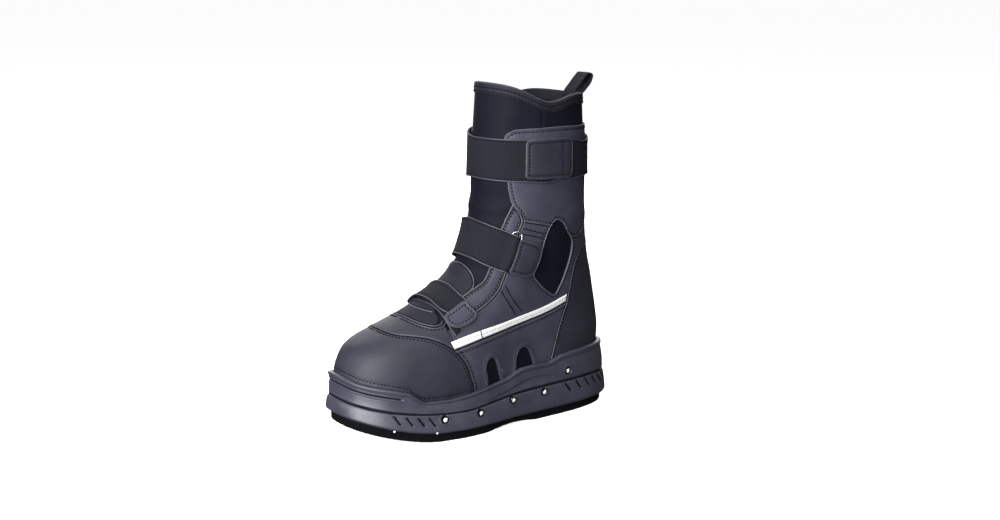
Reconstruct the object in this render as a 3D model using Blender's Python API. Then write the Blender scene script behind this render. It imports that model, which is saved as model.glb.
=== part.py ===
"""Left ice rescue boot: a hollow neoprene upper on a last, coated panels, three straps, a cup sole, felt and studs.

Sizes are in millimetres, and mesh_object turns them into metres. +X points to the toe, +Y to the outer side of the
foot, +Z up, and the felt stands on Z = 0.
"""
import math

import bmesh
import bpy
import numpy as np

MM = 0.001
SHARP_ANGLE = math.radians(35)

# The last, a row per section from the feather edge at the sole up to the collar.
LAST_COLUMNS = (
    "front_x", "front_z", "back_x", "back_z", "heel_half", "ball_half", "waist", "front_power", "back_power")
LAST_ROWS = (
    (146, 50, -143, 45, 37, 51, 5.0, 2.6, 2.4),
    (150, 59, -147, 62, 40, 54, 4.5, 2.6, 2.4),
    (148, 75, -149, 81, 40, 53.5, 3.5, 2.5, 2.3),
    (138, 91, -147, 100, 39, 50.5, 3.0, 2.4, 2.2),
    (111, 102.5, -143, 120, 38, 46, 2.5, 2.3, 2.2),
    (80, 114.5, -138.5, 140, 38, 43, 1.5, 2.2, 2.2),
    (49, 131.5, -133, 160, 38.5, 41, 0.5, 2.2, 2.2),
    (22, 154.5, -128.5, 181, 40, 41.5, 0, 2.2, 2.2),
    (8, 182, -125.8, 203, 42, 42, 0, 2.2, 2.2),
    (1, 209, -124.3, 227, 43, 43, 0, 2.2, 2.2),
    (-2.5, 245, -123.5, 256, 43.5, 43.5, 0, 2.2, 2.2),
    (-4, 285, -122.5, 286, 43.5, 43.5, 0, 2.2, 2.2),
    (-7.5, 339.5, -120, 325, 43, 43, 0, 2.2, 2.2),
)
LAST_STEPS = (0, 0.6, 1.2, 2, 2.7, 3.4, 4.2, 5, 5.8, 6.6, 7.4, 8.3, 9.3, 10.6, 12)
TOE_SWING = 4.0
SWING_FADE = (0.3, 0.6)
BALL_BLEND = (-0.5, 0.35)
WAIST_OUTER = 0.6
WAIST_INNER = 1.2
WAIST_AT = -0.08
WAIST_WIDTH = 0.3
FOOTBED_FADE = 0.25
COLLAR_DIP = 12.0
COLLAR_DIP_AT = 0.12
COLLAR_DIP_WIDTH = 0.46
COLLAR_DIP_FROM = 0.84
SHAFT_MIDDLE_X = -64.0

# Heights of the sole along the boot, as (x, z).
FOOTBED = ((-150, 45), (-50, 43), (20, 37.5), (67, 36.5), (100, 40), (126, 44.5), (146, 50))
CARRIER_TOP = (
    (-165, 33.5), (-143, 34), (-120, 35.1), (-94, 35.2), (-55, 34.7), (-29, 34), (-4.4, 32.7), (20, 30.3), (44, 28),
    (70, 28.5), (83, 29.5), (102, 31.4), (121, 34.2), (138, 38), (152, 42), (160, 46))
WALL_TOP = (
    (-165, 65.5), (-120, 65.3), (-100, 64.3), (-84, 63.3), (-74, 60), (-67, 57.5), (-46, 58.7), (-30, 58.2), (-22, 55.7),
    (-16, 53.1), (-9, 50.9), (19, 47), (37, 44), (60, 41.4), (88, 41.4), (92, 43.6), (99, 48.8), (103, 52.3), (106, 53.3),
    (120, 56.7), (137, 60), (147, 62.9), (154, 66.6), (160, 70))
FELT_THICKNESS = 9.0
TOE_SPRING = 18.0
TOE_SPRING_FROM = 70.0
TOE_SPRING_LENGTH = 85.0
TOE_SPRING_POWER = 1.6
ARCH_RISE = 3.0
ARCH_AT = -15.0
ARCH_HALF = 32.0

# Outline of the sole, in the columns of the last.
SOLE_ROW = (150, 0, -150, 0, 41, 54, 4.5, 2.6, 2.5)
FELT_OFFSET = 4.5
CARRIER_PROFILE = ((0.0, 5.0), (0.16, 10.2), (0.45, 9.6), (0.78, 8.2), (1.0, 6.0))
WALL_PROFILE = (
    (0.0, 6.0, 0), (0.08, 6.8, 0), (0.57, 6.5, 0), (0.63, 6.4, 1), (0.7, 6.2, 0), (0.93, 5.9, 0), (1.0, 5.0, 0))
WALL_LEAN = (0.3, 1.0)
WALL_TOP_INSET = 2.0
SEAT_PARTS = (1.0, 0.55, 0.1)
TOE_GROOVE_DEPTH = 1.4
TOE_GROOVE_FROM = 110.0
TOE_GROOVE_FADE = 6.0
INSOLE_THICKNESS = 5.0
INSOLE_GAP = 0.1
INSOLE_HEIGHT = 0.004

# Layers over the last's surface: lift of each face.
UPPER_WALL = 2.8
PANEL_LIFT = (0.3, 2.0)
STRIPE_LIFT = (2.3, 3.0)
STRAP_LIFT = (2.9, 4.9)
TAB_LIFT = (5.2, 6.7)
RING_LIFT = 4.0
RING_RADIUS = 1.5
RING_CORNER = 4.0
CUP_INNER_LIFT = 3.0
GAP = 0.3
PANEL_ENDS = (0.4, 11.7)
SIDE_REACH = 95.0
WINDOW_MORE = 5.0

UPPER_TURNS = 28
SOLE_TURNS = 44
STEP_TURNS = (46, 50, 54)
WIRE_SIDES = 5
ROUND_SIDES = 6

# Edges of the panels in side view, as (x, z), on the outer side; the inner side mirrors them.
TOE_SEAM = (
    (28, 20), (33, 47), (41, 70.5), (49, 83.2), (66.4, 96.4), (76.4, 100), (86.3, 101.6), (97, 102.5), (106.5, 103.8),
    (113, 111))
THROAT = ((57, 113), (63, 110.5), (72, 109), (81, 110), (87, 112.5), (93, 120))
QUARTER_FRONT = ((56.5, 89), (53.5, 94), (54, 99.5), (57, 105), (57, 113))
EYESTAY_FRONT = (
    (-22, 222), (-16, 208), (-11, 195), (-6, 177), (0, 158), (12, 144), (28, 133), (45, 125), (58, 118))
EYESTAY_REAR = (
    (-28, 213), (-30, 206), (-26, 195), (-21, 175), (-14, 155), (-6, 140), (10, 127.5), (22, 121), (38, 114),
    (57, 107))
CUFF_FRONT = (
    (-30, 206), (-28, 213), (-22, 222), (-19.5, 232), (-18, 262), (-16, 284), (-17, 290), (-22, 294), (-37, 296))
CUFF_TOP = ((-70, 297), (-106, 296), (-150, 296))
CUFF_LOW = (
    (-150, 222), (-124, 207), (-115, 197.5), (-108, 187.5), (-100, 183.4), (-92, 184.5), (-75, 195), (-56, 200.5),
    (-30, 206))
COUNTER_EDGE = (
    (-66, 20), (-69, 58), (-75.6, 80), (-84, 100), (-90.5, 114), (-96, 139), (-101, 156), (-109, 167.5), (-118, 172),
    (-150, 180))
ANKLE_WINDOW = (
    (-68, 204.5), (-74.7, 202.6), (-84.6, 191), (-94, 177.6), (-93.5, 168), (-88, 150), (-80, 134), (-73.6, 125.6),
    (-49.7, 142), (-43.6, 149.6), (-50, 168), (-62, 200))
SIDE_SLOTS = (
    ((17, 71), (12, 74), (8, 70), (2, 56), (-4, 34), (10, 34), (15, 58)),
    ((-23, 74), (-30, 78), (-36, 74), (-42, 64), (-48, 44), (-22, 44), (-21, 64)),
)
STRIPE = (
    (57.3, 95.5), (32.7, 101), (-18.6, 109), (-66.4, 117.4), (-90, 124), (-89, 117), (-66.6, 110.8), (-18.3, 102.5),
    (28, 95), (54.5, 89.4))
TONGUE_PATCH = (
    (22, 176), (17, 161), (16.5, 150), (19, 143), (28, 135), (45, 127), (58, 120), (62, 113.5), (72, 111),
    (81, 112), (90, 118), (100, 150), (50, 180))

# Straps: turn round the last in degrees from the toe line, and the heights of the top and bottom edge there.
TOP_STRAP = ((-76, 284, 249), (-73, 287, 246), (0, 287, 247), (60, 286, 245), (93, 285, 245.5), (97, 282, 249))
TOP_STRAP_BASE = (
    (99.5, 281, 249), (104, 283.5, 246), (127, 281, 246), (180, 286, 246), (268, 286, 246), (274, 284, 249))
TOP_TAB = ((61.5, 281, 252), (64, 284.5, 248.3), (101, 286, 247.2), (106.5, 281.5, 251))
MID_STRAP = (
    (-52, 193, 158), (-42, 197, 161.3), (-15, 204.5, 168.5), (0, 206.5, 170.2), (15, 204.5, 168.5), (42, 197, 161.3),
    (52, 193, 158))
MID_CHAPE = ((64, 186.5, 157), (69, 186, 154.5), (82, 180.5, 150.5), (87, 174.5, 154))
LOW_STRAP = (
    (-60, 125, 113), (-45, 130, 118.5), (-20, 141, 127), (0, 144, 129.5), (20, 141, 127), (45, 131.5, 118.5),
    (70, 119.5, 108))
LOW_TAB = ((46.5, 131, 120), (54, 129, 115.5), (64, 122.5, 110.5), (70, 115, 109.5))
LOW_CHAPE = ((-84, 114, 106), (-80, 117, 103.5), (-72, 120.5, 106), (-69, 121, 108.5))
STRAP_STEP = 15.0
RINGS = (
    ("top_ring", -81, 2.6, 290, 243),
    ("mid_ring_outer", 59.5, 2.4, 193, 153),
    ("mid_ring_inner", -59.5, 2.4, 193, 153),
    ("low_ring", -64.5, 2.2, 126, 106.5),
)

PULL_LOOP = (
    (-123.2, 300), (-122.6, 322), (-130, 329.5), (-137, 338), (-138, 343.5), (-133.3, 345.2), (-128, 341),
    (-122.6, 335), (-115.6, 327), (-115.6, 303))
LOOP_HALF_WIDTH = 9.0
LOOP_THICKNESS = 1.8
LOOP_BEND_RADIUS = 36.0

# Studs under the felt and rivets on the outer side, as (x, y) and (x, z).
STUDS = (
    (-122.6, 24), (-106.8, 23), (-89.7, 21.5), (-137, 3), (-122.4, 1.3), (-106.8, 0), (-89, 0), (-136.4, -17.3),
    (-121, -22), (-105.5, -24), (-88.2, -26), (6.3, 36), (5.3, 19), (5.7, -18), (43.9, 39), (43.2, -9.6),
    (40.6, -33), (79.6, 34.4), (76.5, -21), (74.1, -40), (112.5, 15), (124.3, -7), (120.2, -26), (107, -30))
STUD_RADIUS = 3.0
STUD_HEIGHT = 5.0
STUD_RECESS = 0.2
STUD_POCKET = 3.4
GROOVES = ((-62.5, 4.0), (-11, 4.0), (23, 4.0), (61, 4.0), (96.5, 4.0))
GROOVE_DEPTH = 3.0
LONG_GROOVE = (23, 96.5, -1)
LONG_GROOVE_HALF = 2.0
CUTTER_BELOW = 10.0
RIVETS = (
    (70.5, 23.6, "carrier"), (30, 24.2, "carrier"), (-13, 28.6, "carrier"), (-54.5, 29.3, "carrier"), (-88, 45.2, "wall"))
RIVET_RADIUS = 2.7
RIVET_POCKET = 3.5
RIVET_LENGTH = 2.6
RIVET_SET = 2.0
SLITS = (117, 106, 95, 84)
SLIT_SIZE = (3.0, 11.0)
SLIT_LEAN = 0.45
RIBS = 13
RIB_SPAN = (120, 240)
RIB_SIZE = (2.2, 9.0)
RIB_LEVEL = 0.62
CUT_DEPTH = 1.6

COLOURS = {
    "neoprene": ((0.020, 0.020, 0.032), 0.75),
    "coated": ((0.042, 0.042, 0.055), 0.5),
    "webbing": ((0.016, 0.016, 0.020), 0.85),
    "rubber": ((0.048, 0.048, 0.064), 0.45),
    "felt": ((0.005, 0.005, 0.006), 0.95),
    "foam": ((0.03, 0.03, 0.035), 0.9),
    "reflective": ((0.85, 0.85, 0.85), 0.4),
    "steel": ((0.65, 0.65, 0.66), 0.25),
}


def smooth(low, high, value):
    part = np.clip((value - low) / (high - low), 0, 1)
    return part * part * (3 - 2 * part)


def along(table, x):
    return np.interp(x, [place for place, _ in table], [size for _, size in table])


def section(height):
    """Sizes of the last at a height from 0, the feather edge, to 1, the collar."""
    rows = np.array(LAST_ROWS, float)
    last = len(rows) - 1
    place = np.clip(height, 0, 1) * last
    low = np.minimum(place.astype(int), last - 1)
    part = (place - low)[..., None]
    first, second = rows[low], rows[low + 1]
    slope_first = (second - rows[np.maximum(low - 1, 0)]) / 2
    slope_second = (rows[np.minimum(low + 2, last)] - first) / 2
    return (
        first * (1 + 2 * part) * (1 - part) ** 2
        + slope_first * part * (1 - part) ** 2
        + second * part ** 2 * (3 - 2 * part)
        + slope_second * part ** 2 * (part - 1)
    )


def plan(sizes, turn, swing):
    """x, y and reach of a section's outline: reach runs from -1 at the heel to 1 at the toe."""
    cosine, sine = np.cos(turn), np.sin(turn)
    power = np.where(cosine > 0, sizes["front_power"], sizes["back_power"])
    reach = np.sign(cosine) * np.abs(cosine) ** (2 / power)
    half = sizes["heel_half"] + (sizes["ball_half"] - sizes["heel_half"]) * smooth(*BALL_BLEND, reach)
    side = np.where(sine > 0, WAIST_OUTER, WAIST_INNER)
    half = half - sizes["waist"] * side * np.exp(-(((reach - WAIST_AT) / WAIST_WIDTH) ** 2))
    x = (sizes["front_x"] + sizes["back_x"]) / 2 + (sizes["front_x"] - sizes["back_x"]) / 2 * reach
    y = half * np.sign(sine) * np.abs(sine) ** (2 / power) - swing * np.clip(reach, 0, 1) ** 2
    return x, y, reach


def last_point(turn, height):
    sizes = dict(zip(LAST_COLUMNS, np.moveaxis(section(height), -1, 0)))
    x, y, reach = plan(sizes, turn, TOE_SWING * (1 - smooth(*SWING_FADE, height)))
    z = (sizes["front_z"] + sizes["back_z"]) / 2 + (sizes["front_z"] - sizes["back_z"]) / 2 * reach
    level = (LAST_ROWS[0][1] + LAST_ROWS[0][3]) / 2 + (LAST_ROWS[0][1] - LAST_ROWS[0][3]) / 2 * reach
    z = z + (along(FOOTBED, x) - level) * (1 - smooth(0, FOOTBED_FADE, height))
    dip = np.exp(-(((reach - COLLAR_DIP_AT) / COLLAR_DIP_WIDTH) ** 2))
    z = z - COLLAR_DIP * dip * smooth(COLLAR_DIP_FROM, 1, height)
    return np.stack([x, y, z], axis=-1)


def skin(turn, height, lift):
    """Points lifted off the last along its own normal."""
    turn, height = np.broadcast_arrays(np.asarray(turn, float), np.asarray(height, float))
    step = 1e-3
    round_way = last_point(turn + step, height) - last_point(turn - step, height)
    up_way = last_point(turn, np.minimum(height + step, 1)) - last_point(turn, np.maximum(height - step, 0))
    normal = np.cross(round_way, up_way)
    normal /= np.linalg.norm(normal, axis=-1, keepdims=True)
    return last_point(turn, height) + normal * lift


def height_at(turn, z, lift):
    """Height on the last where the lifted surface reaches z."""
    turn, z = np.broadcast_arrays(np.asarray(turn, float), np.asarray(z, float))
    low, high = np.zeros(turn.shape), np.ones(turn.shape)
    for _ in range(36):
        middle = (low + high) / 2
        under = skin(turn, middle, lift)[..., 2] < z
        low = np.where(under, middle, low)
        high = np.where(under, high, middle)
    return (low + high) / 2


def sole_outline(turn, offset):
    """x and y of the sole's edge, offset outwards."""
    sizes = dict(zip(LAST_COLUMNS, SOLE_ROW))
    step = 1e-3
    x, y, _ = plan(sizes, turn, TOE_SWING)
    ahead, behind = plan(sizes, turn + step, TOE_SWING), plan(sizes, turn - step, TOE_SWING)
    way = np.stack([ahead[1] - behind[1], behind[0] - ahead[0]], axis=-1)
    way /= np.linalg.norm(way, axis=-1, keepdims=True)
    return x + way[..., 0] * offset, y + way[..., 1] * offset


def ground(x):
    return TOE_SPRING * (np.clip(x - TOE_SPRING_FROM, 0, None) / TOE_SPRING_LENGTH) ** TOE_SPRING_POWER


def felt_under(x):
    arch = np.clip(1 - ((x - ARCH_AT) / ARCH_HALF) ** 2, 0, None)
    return ground(x) + ARCH_RISE * arch


def turns(count):
    return np.arange(count) * 2 * math.pi / count


def with_steps(turn, extra):
    """Turns with more of them on both sides, still in pairs across the boot."""
    half = np.unique(np.concatenate([turn[(turn > 0) & (turn < math.pi - 1e-6)], extra]))
    return np.concatenate([[0.0], half, [math.pi], 2 * math.pi - half[::-1]])


def material(name):
    found = bpy.data.materials.get(name)
    if found:
        return found
    colour, roughness = COLOURS[name]
    made = bpy.data.materials.new(name)
    made.use_nodes = True
    shader = made.node_tree.nodes["Principled BSDF"]
    shader.inputs["Base Color"].default_value = (*colour, 1)
    shader.inputs["Roughness"].default_value = roughness
    shader.inputs["Metallic"].default_value = 1.0 if name == "steel" else 0.0
    return made


def mesh_object(name, points, faces, material_name):
    mesh = bpy.data.meshes.new(name)
    mesh.from_pydata([tuple(float(value) * MM for value in point) for point in points], [], faces)
    work = bmesh.new()
    work.from_mesh(mesh)
    bmesh.ops.recalc_face_normals(work, faces=work.faces)
    work.to_mesh(mesh)
    work.free()
    mesh.shade_smooth()
    mesh.set_sharp_from_angle(angle=SHARP_ANGLE)
    made = bpy.data.objects.new(name, mesh)
    bpy.context.scene.collection.objects.link(made)
    if material_name:
        mesh.materials.append(material(material_name))
    else:
        made.hide_render = True
        made.display_type = "WIRE"
    return made


def cut(target, cutter, operation):
    modifier = target.modifiers.new(cutter.name, "BOOLEAN")
    modifier.solver = "EXACT"
    modifier.operation = operation
    modifier.object = cutter


def between(count, first, second):
    """Quads between two closed rings of points."""
    return [(first + k, first + (k + 1) % count, second + (k + 1) % count, second + k) for k in range(count)]


def strip_cap(count, start):
    """Closes a ring with strips across it, from one side of the boot to the other."""
    half = count // 2
    faces = [(start, start + 1, start + count - 1), (start + half, start + half + 1, start + half - 1)]
    for k in range(1, half - 1):
        faces.append((start + k, start + k + 1, start + count - k - 1, start + count - k))
    return faces


def stacked(name, rings, material_name):
    """A solid from a stack of rings, capped at both ends."""
    count = len(rings[0])
    faces = strip_cap(count, 0) + strip_cap(count, (len(rings) - 1) * count)
    for k in range(len(rings) - 1):
        faces += between(count, k * count, (k + 1) * count)
    return mesh_object(name, np.concatenate(rings), faces, material_name)


def shell(name, heights, outer, inner, material_name):
    """A hollow wall between two lifts of the last, with the same triangles on both faces."""
    turn = turns(UPPER_TURNS)
    count, total = UPPER_TURNS, UPPER_TURNS * len(heights)
    points = [skin(turn, height, lift) for lift in (outer, inner) for height in heights]
    faces = between(count, 0, total) + between(count, total - count, 2 * total - count)
    for start in (0, total):
        for row in range(len(heights) - 1):
            low = start + row * count
            for first, second, third, fourth in between(count, low, low + count):
                faces += [(first, second, third), (first, third, fourth)]
    return mesh_object(name, np.concatenate(points), faces, material_name)


def inset(points, gap):
    """A closed outline moved inwards by a gap."""
    points = np.array(points, float)
    ahead = np.roll(points, -1, axis=0) - points
    area = np.sum(points[:, 0] * np.roll(points[:, 1], -1) - np.roll(points[:, 0], -1) * points[:, 1])
    normal = np.stack([-ahead[:, 1], ahead[:, 0]], axis=1) * np.sign(area)
    normal /= np.linalg.norm(normal, axis=1, keepdims=True)
    corner = normal + np.roll(normal, 1, axis=0)
    corner /= np.maximum(np.sum(corner * normal, axis=1, keepdims=True), 0.4)
    return points + corner * gap


def side_prism(name, outline, low_y, high_y):
    """A cutter through the boot from side to side, from an outline in side view."""
    count = len(outline)
    points = [(x, low_y, z) for x, z in outline] + [(x, high_y, z) for x, z in outline]
    faces = [tuple(range(count)), tuple(range(count, 2 * count))] + between(count, 0, count)
    return mesh_object(name, points, faces, None)


def panel(name, outline, material_name, low_y=-SIDE_REACH, high_y=SIDE_REACH, lift=PANEL_LIFT, windows=()):
    """A panel over the upper: a shell on the last's own surface, cut to an outline in side view."""
    heights = [step / LAST_STEPS[-1] for step in PANEL_ENDS[:1] + LAST_STEPS[1:-1] + PANEL_ENDS[1:]]
    made = shell(name, heights, lift[1], lift[0], material_name)
    cut(made, side_prism(name + "_outline", inset(outline, GAP), low_y, high_y), "INTERSECT")
    for number, window in enumerate(windows):
        cutter = side_prism(f"{name}_window_{number}", window, low_y - WINDOW_MORE, high_y + WINDOW_MORE)
        cut(made, cutter, "DIFFERENCE")
    return made


def sheet_solid(name, outer, inner, material_name):
    """A solid from two matching grids of points, closed round its rim."""
    rows, columns = outer.shape[:2]
    total = rows * columns
    faces = []
    for start in (0, total):
        for row in range(rows - 1):
            for column in range(columns - 1):
                corner = start + row * columns + column
                faces.append((corner, corner + 1, corner + columns + 1, corner + columns))
    rim = list(range(columns)) + [row * columns + columns - 1 for row in range(1, rows)]
    rim += [(rows - 1) * columns + column for column in range(columns - 2, -1, -1)]
    rim += [row * columns for row in range(rows - 2, 0, -1)]
    for k, point in enumerate(rim):
        ahead = rim[(k + 1) % len(rim)]
        faces.append((point, ahead, ahead + total, point + total))
    points = np.concatenate([outer.reshape(-1, 3), inner.reshape(-1, 3)])
    return mesh_object(name, points, faces, material_name)


def strap(name, table, lift, material_name, mirrored=False):
    """A band over the last, between its top and bottom edge."""
    places = [row[0] for row in table]
    inside = np.arange(math.ceil(places[0] / STRAP_STEP), places[-1] / STRAP_STEP) * STRAP_STEP
    angles = np.unique(np.concatenate([places, inside]))
    tops = np.interp(angles, places, [row[1] for row in table])
    bottoms = np.interp(angles, places, [row[2] for row in table])
    turn = np.radians(-angles if mirrored else angles)
    faces = []
    for face in (lift[1], lift[0]):
        rows = []
        for part in (0.0, 0.5, 1.0):
            z = bottoms + (tops - bottoms) * part
            rows.append(skin(turn, height_at(turn, z, face), face))
        faces.append(np.array(rows))
    return sheet_solid(name, faces[0], faces[1], material_name)


def ring(name, angle, half_angle, top, bottom):
    """A wire ring lying on the upper, longer across the strap than along it."""
    low, high = bottom + RING_CORNER, top - RING_CORNER
    path = []
    for turn_part, z in ((-1, low), (0, bottom), (1, low), (1, high), (0, top), (-1, high)):
        turn = math.radians(angle + turn_part * half_angle)
        path.append(skin(turn, height_at(turn, z, RING_LIFT), RING_LIFT))
    path = np.array(path)
    out = path.mean(axis=0) * (1, 1, 0) - (SHAFT_MIDDLE_X, 0, 0)
    out /= np.linalg.norm(out)
    count, sides = len(path), WIRE_SIDES
    points = []
    for k in range(count):
        way = path[(k + 1) % count] - path[k - 1]
        way /= np.linalg.norm(way)
        across = np.cross(out, way)
        across /= np.linalg.norm(across)
        up = np.cross(way, across)
        for side in range(sides):
            angle_round = 2 * math.pi * side / sides
            points.append(path[k] + RING_RADIUS * (math.cos(angle_round) * across + math.sin(angle_round) * up))
    faces = []
    for k in range(count):
        faces += between(sides, k * sides, (k + 1) % count * sides)
    return mesh_object(name, points, faces, "steel")


def prisms(name, places, material_name):
    """Round prisms, each from a foot point, an axis, a radius and a length, in one mesh."""
    points, faces = [], []
    sides = ROUND_SIDES
    for foot, axis, radius, length in places:
        axis = np.array(axis, float)
        helper = np.array((0, 0, 1.0)) if abs(axis[2]) < 0.9 else np.array((1.0, 0, 0))
        across = np.cross(axis, helper)
        across /= np.linalg.norm(across)
        up = np.cross(axis, across)
        start = len(points)
        for rise in (0, length):
            for side in range(sides):
                angle = 2 * math.pi * (side + 0.5) / sides
                rim = math.cos(angle) * across + math.sin(angle) * up
                points.append(np.array(foot) + axis * rise + radius * rim)
        faces += [tuple(range(start, start + sides)), tuple(range(start + sides, start + 2 * sides))]
        faces += between(sides, start, start + sides)
    return mesh_object(name, points, faces, material_name)


def boxes(name, places):
    """Box cutters, each from a centre, three axes and the half sizes along them, in one mesh."""
    points, faces = [], []
    for centre, axes, halves in places:
        start = len(points)
        for i in (-1, 1):
            for j, k in ((-1, -1), (1, -1), (1, 1), (-1, 1)):
                corner = [half * sign for half, sign in zip(halves, (i, j, k))]
                points.append(np.array(centre, float) + np.array(corner) @ np.array(axes, float))
        faces += [tuple(range(start, start + 4)), tuple(range(start + 4, start + 8))]
        faces += between(4, start, start + 4)
    return mesh_object(name, points, faces, None)


def outer_side(x, offset):
    """Point and outward direction of the sole's outer edge at x."""
    turn = np.linspace(0.02, math.pi - 0.02, 4000)
    edge_x, edge_y = sole_outline(turn, offset)
    at = turn[np.argmin(np.abs(edge_x - x))]
    near = np.array(sole_outline(at, offset))
    far = np.array(sole_outline(at, offset + 1))
    return near, far - near


for old in list(bpy.data.objects):
    bpy.data.objects.remove(old, do_unlink=True)

# Felt outsole with its grooves and stud pockets.
sole_turn = with_steps(turns(SOLE_TURNS), np.radians(STEP_TURNS))
felt_x, felt_y = sole_outline(sole_turn, FELT_OFFSET)
felt = stacked("felt_outsole", [
    np.stack([felt_x, felt_y, felt_under(felt_x)], axis=-1),
    np.stack([felt_x, felt_y, ground(felt_x) + FELT_THICKNESS], axis=-1),
], "felt")
groove_places = []
for groove_x, groove_width in GROOVES:
    middle = (groove_x, 0, felt_under(groove_x) - CUTTER_BELOW + GROOVE_DEPTH)
    groove_places.append((middle, np.eye(3), (groove_width / 2, SIDE_REACH, CUTTER_BELOW)))
cut(felt, boxes("felt_grooves", groove_places), "DIFFERENCE")
long_from, long_to, long_y = LONG_GROOVE
long_middle = ((long_from + long_to) / 2, long_y, GROOVE_DEPTH - CUTTER_BELOW)
long_half = ((long_to - long_from) / 2, LONG_GROOVE_HALF, CUTTER_BELOW)
cut(felt, boxes("felt_long_groove", [(long_middle, np.eye(3), long_half)]), "DIFFERENCE")
pockets = []
for x, y in STUDS:
    foot = (x, y, felt_under(x) - CUTTER_BELOW)
    pockets.append((foot, (0, 0, 1), STUD_POCKET, CUTTER_BELOW + STUD_HEIGHT + 2 * GAP))
cut(felt, prisms("stud_pockets", pockets, None), "DIFFERENCE")

# Carrier between felt and cup sole, with its flared edge, slanted slits at the toe and ribs round the heel.
carrier_rings = []
for part, offset in CARRIER_PROFILE:
    x, y = sole_outline(sole_turn, offset)
    low = ground(x) + FELT_THICKNESS + GAP
    carrier_rings.append(np.stack([x, y, low + (along(CARRIER_TOP, x) - low) * part], axis=-1))
carrier = stacked("sole_carrier", carrier_rings, "rubber")
edge_offset = CARRIER_PROFILE[2][1]
side_cuts = []
for x in SLITS:
    for mirror in (1, -1):
        (edge_x, edge_y), (way_x, way_y) = outer_side(x, edge_offset)
        edge_y = edge_y if mirror > 0 else -edge_y - 2 * TOE_SWING * max(0.0, x / SOLE_ROW[0]) ** 2
        way = np.array((way_x, way_y * mirror, 0))
        lean = np.array((way[1] * SLIT_LEAN * mirror, -way[0] * SLIT_LEAN * mirror, 1))
        lean /= np.linalg.norm(lean)
        middle = (ground(x) + FELT_THICKNESS + along(CARRIER_TOP, x)) / 2
        axes = (way, np.cross(way, lean), lean)
        side_cuts.append(((edge_x, edge_y, middle), axes, (CUT_DEPTH, SLIT_SIZE[0] / 2, SLIT_SIZE[1] / 2)))
for k in range(RIBS):
    at = math.radians(RIB_SPAN[0] + (RIB_SPAN[1] - RIB_SPAN[0]) * k / (RIBS - 1))
    near, far = np.array(sole_outline(at, edge_offset)), np.array(sole_outline(at, edge_offset + 1))
    way = np.array((*(far - near), 0))
    middle = FELT_THICKNESS + RIB_LEVEL * (along(CARRIER_TOP, near[0]) - FELT_THICKNESS)
    axes = (way, np.cross((0, 0, 1), way), (0, 0, 1))
    side_cuts.append(((*near, middle), axes, (CUT_DEPTH, RIB_SIZE[0] / 2, RIB_SIZE[1] / 2)))
cut(carrier, boxes("carrier_slits_and_ribs", side_cuts), "DIFFERENCE")

# Cup sole: its floor, stepped wall with the toe groove, and the seat of the upper.
top_x, _ = sole_outline(sole_turn, WALL_PROFILE[-1][1])
wall_height = along(WALL_TOP, top_x)
seat_height = height_at(sole_turn, wall_height, CUP_INNER_LIFT)
seat_top = skin(sole_turn, seat_height, CUP_INNER_LIFT)
groove_mask = smooth(TOE_GROOVE_FROM - TOE_GROOVE_FADE, TOE_GROOVE_FROM, top_x)
wall_rings = []
for part, offset, groove in WALL_PROFILE:
    x, y = sole_outline(sole_turn, offset - TOE_GROOVE_DEPTH * groove * groove_mask)
    low = along(CARRIER_TOP, x) + GAP
    flat = np.stack([x, y, low + (wall_height - low) * part], axis=-1)
    lean = smooth(*WALL_LEAN, part)
    outer_top = skin(sole_turn, seat_height, CUP_INNER_LIFT + offset - WALL_TOP_INSET)
    flat[:, :2] += (outer_top[:, :2] - flat[:, :2]) * lean
    wall_rings.append(flat)
for part in SEAT_PARTS:
    wall_rings.append(skin(sole_turn, seat_height * part, CUP_INNER_LIFT))
floor = skin(sole_turn, 0 * sole_turn, CUP_INNER_LIFT)
floor[:, 2] = along(FOOTBED, floor[:, 0]) - 2 * GAP
wall_rings.append(floor)
cup = stacked("cup_sole", wall_rings, "rubber")

# Upper: one hollow neoprene wall, open at the collar and over the cup sole.
upper_heights = [step / LAST_STEPS[-1] for step in LAST_STEPS]
upper = shell("upper", upper_heights, 0.0, -UPPER_WALL, "neoprene")

# Tongue patch in the throat, under the straps.
panel("tongue_patch", TONGUE_PATCH, "coated")

# Insole inside the upper, on the cup sole's floor.
insole_turn = turns(UPPER_TURNS)
insole_low = skin(insole_turn, INSOLE_HEIGHT, -UPPER_WALL - 2 * GAP)
insole_low[:, 2] = along(FOOTBED, insole_low[:, 0]) + INSOLE_GAP
stacked("insole", [insole_low, insole_low + (0, 0, INSOLE_THICKNESS)], "foam")

# Coated panels of the upper: toe cap, vamp, quarters, eyestays, cuff and heel counter.
panel("toe_cap", TOE_SEAM + ((190, 112), (190, 20)), "coated")
panel("vamp", QUARTER_FRONT + THROAT[1:] + ((118, 130),) + tuple(reversed(TOE_SEAM[4:])), "coated")
quarter = TOE_SEAM[:4] + QUARTER_FRONT[:4] + tuple(reversed(EYESTAY_REAR[1:])) + tuple(reversed(CUFF_LOW[:-1]))
quarter = quarter + tuple(reversed(COUNTER_EDGE))
windows = (ANKLE_WINDOW,) + SIDE_SLOTS
eyestay = EYESTAY_FRONT + ((57, 107),) + tuple(reversed(EYESTAY_REAR[:-1]))
for side, low_y, high_y in (("outer", GAP / 2, SIDE_REACH), ("inner", -SIDE_REACH, -GAP / 2)):
    panel(f"quarter_{side}", quarter, "coated", low_y, high_y, windows=windows)
    panel(f"eyestay_{side}", eyestay, "coated", low_y, high_y)
    panel(f"stripe_{side}", STRIPE, "reflective", low_y, high_y, lift=STRIPE_LIFT)
panel("shaft_cuff", CUFF_FRONT + CUFF_TOP + CUFF_LOW[:-1], "coated", windows=(ANKLE_WINDOW,))
panel("heel_counter", COUNTER_EDGE + ((-190, 193), (-190, 20)), "coated")

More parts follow.
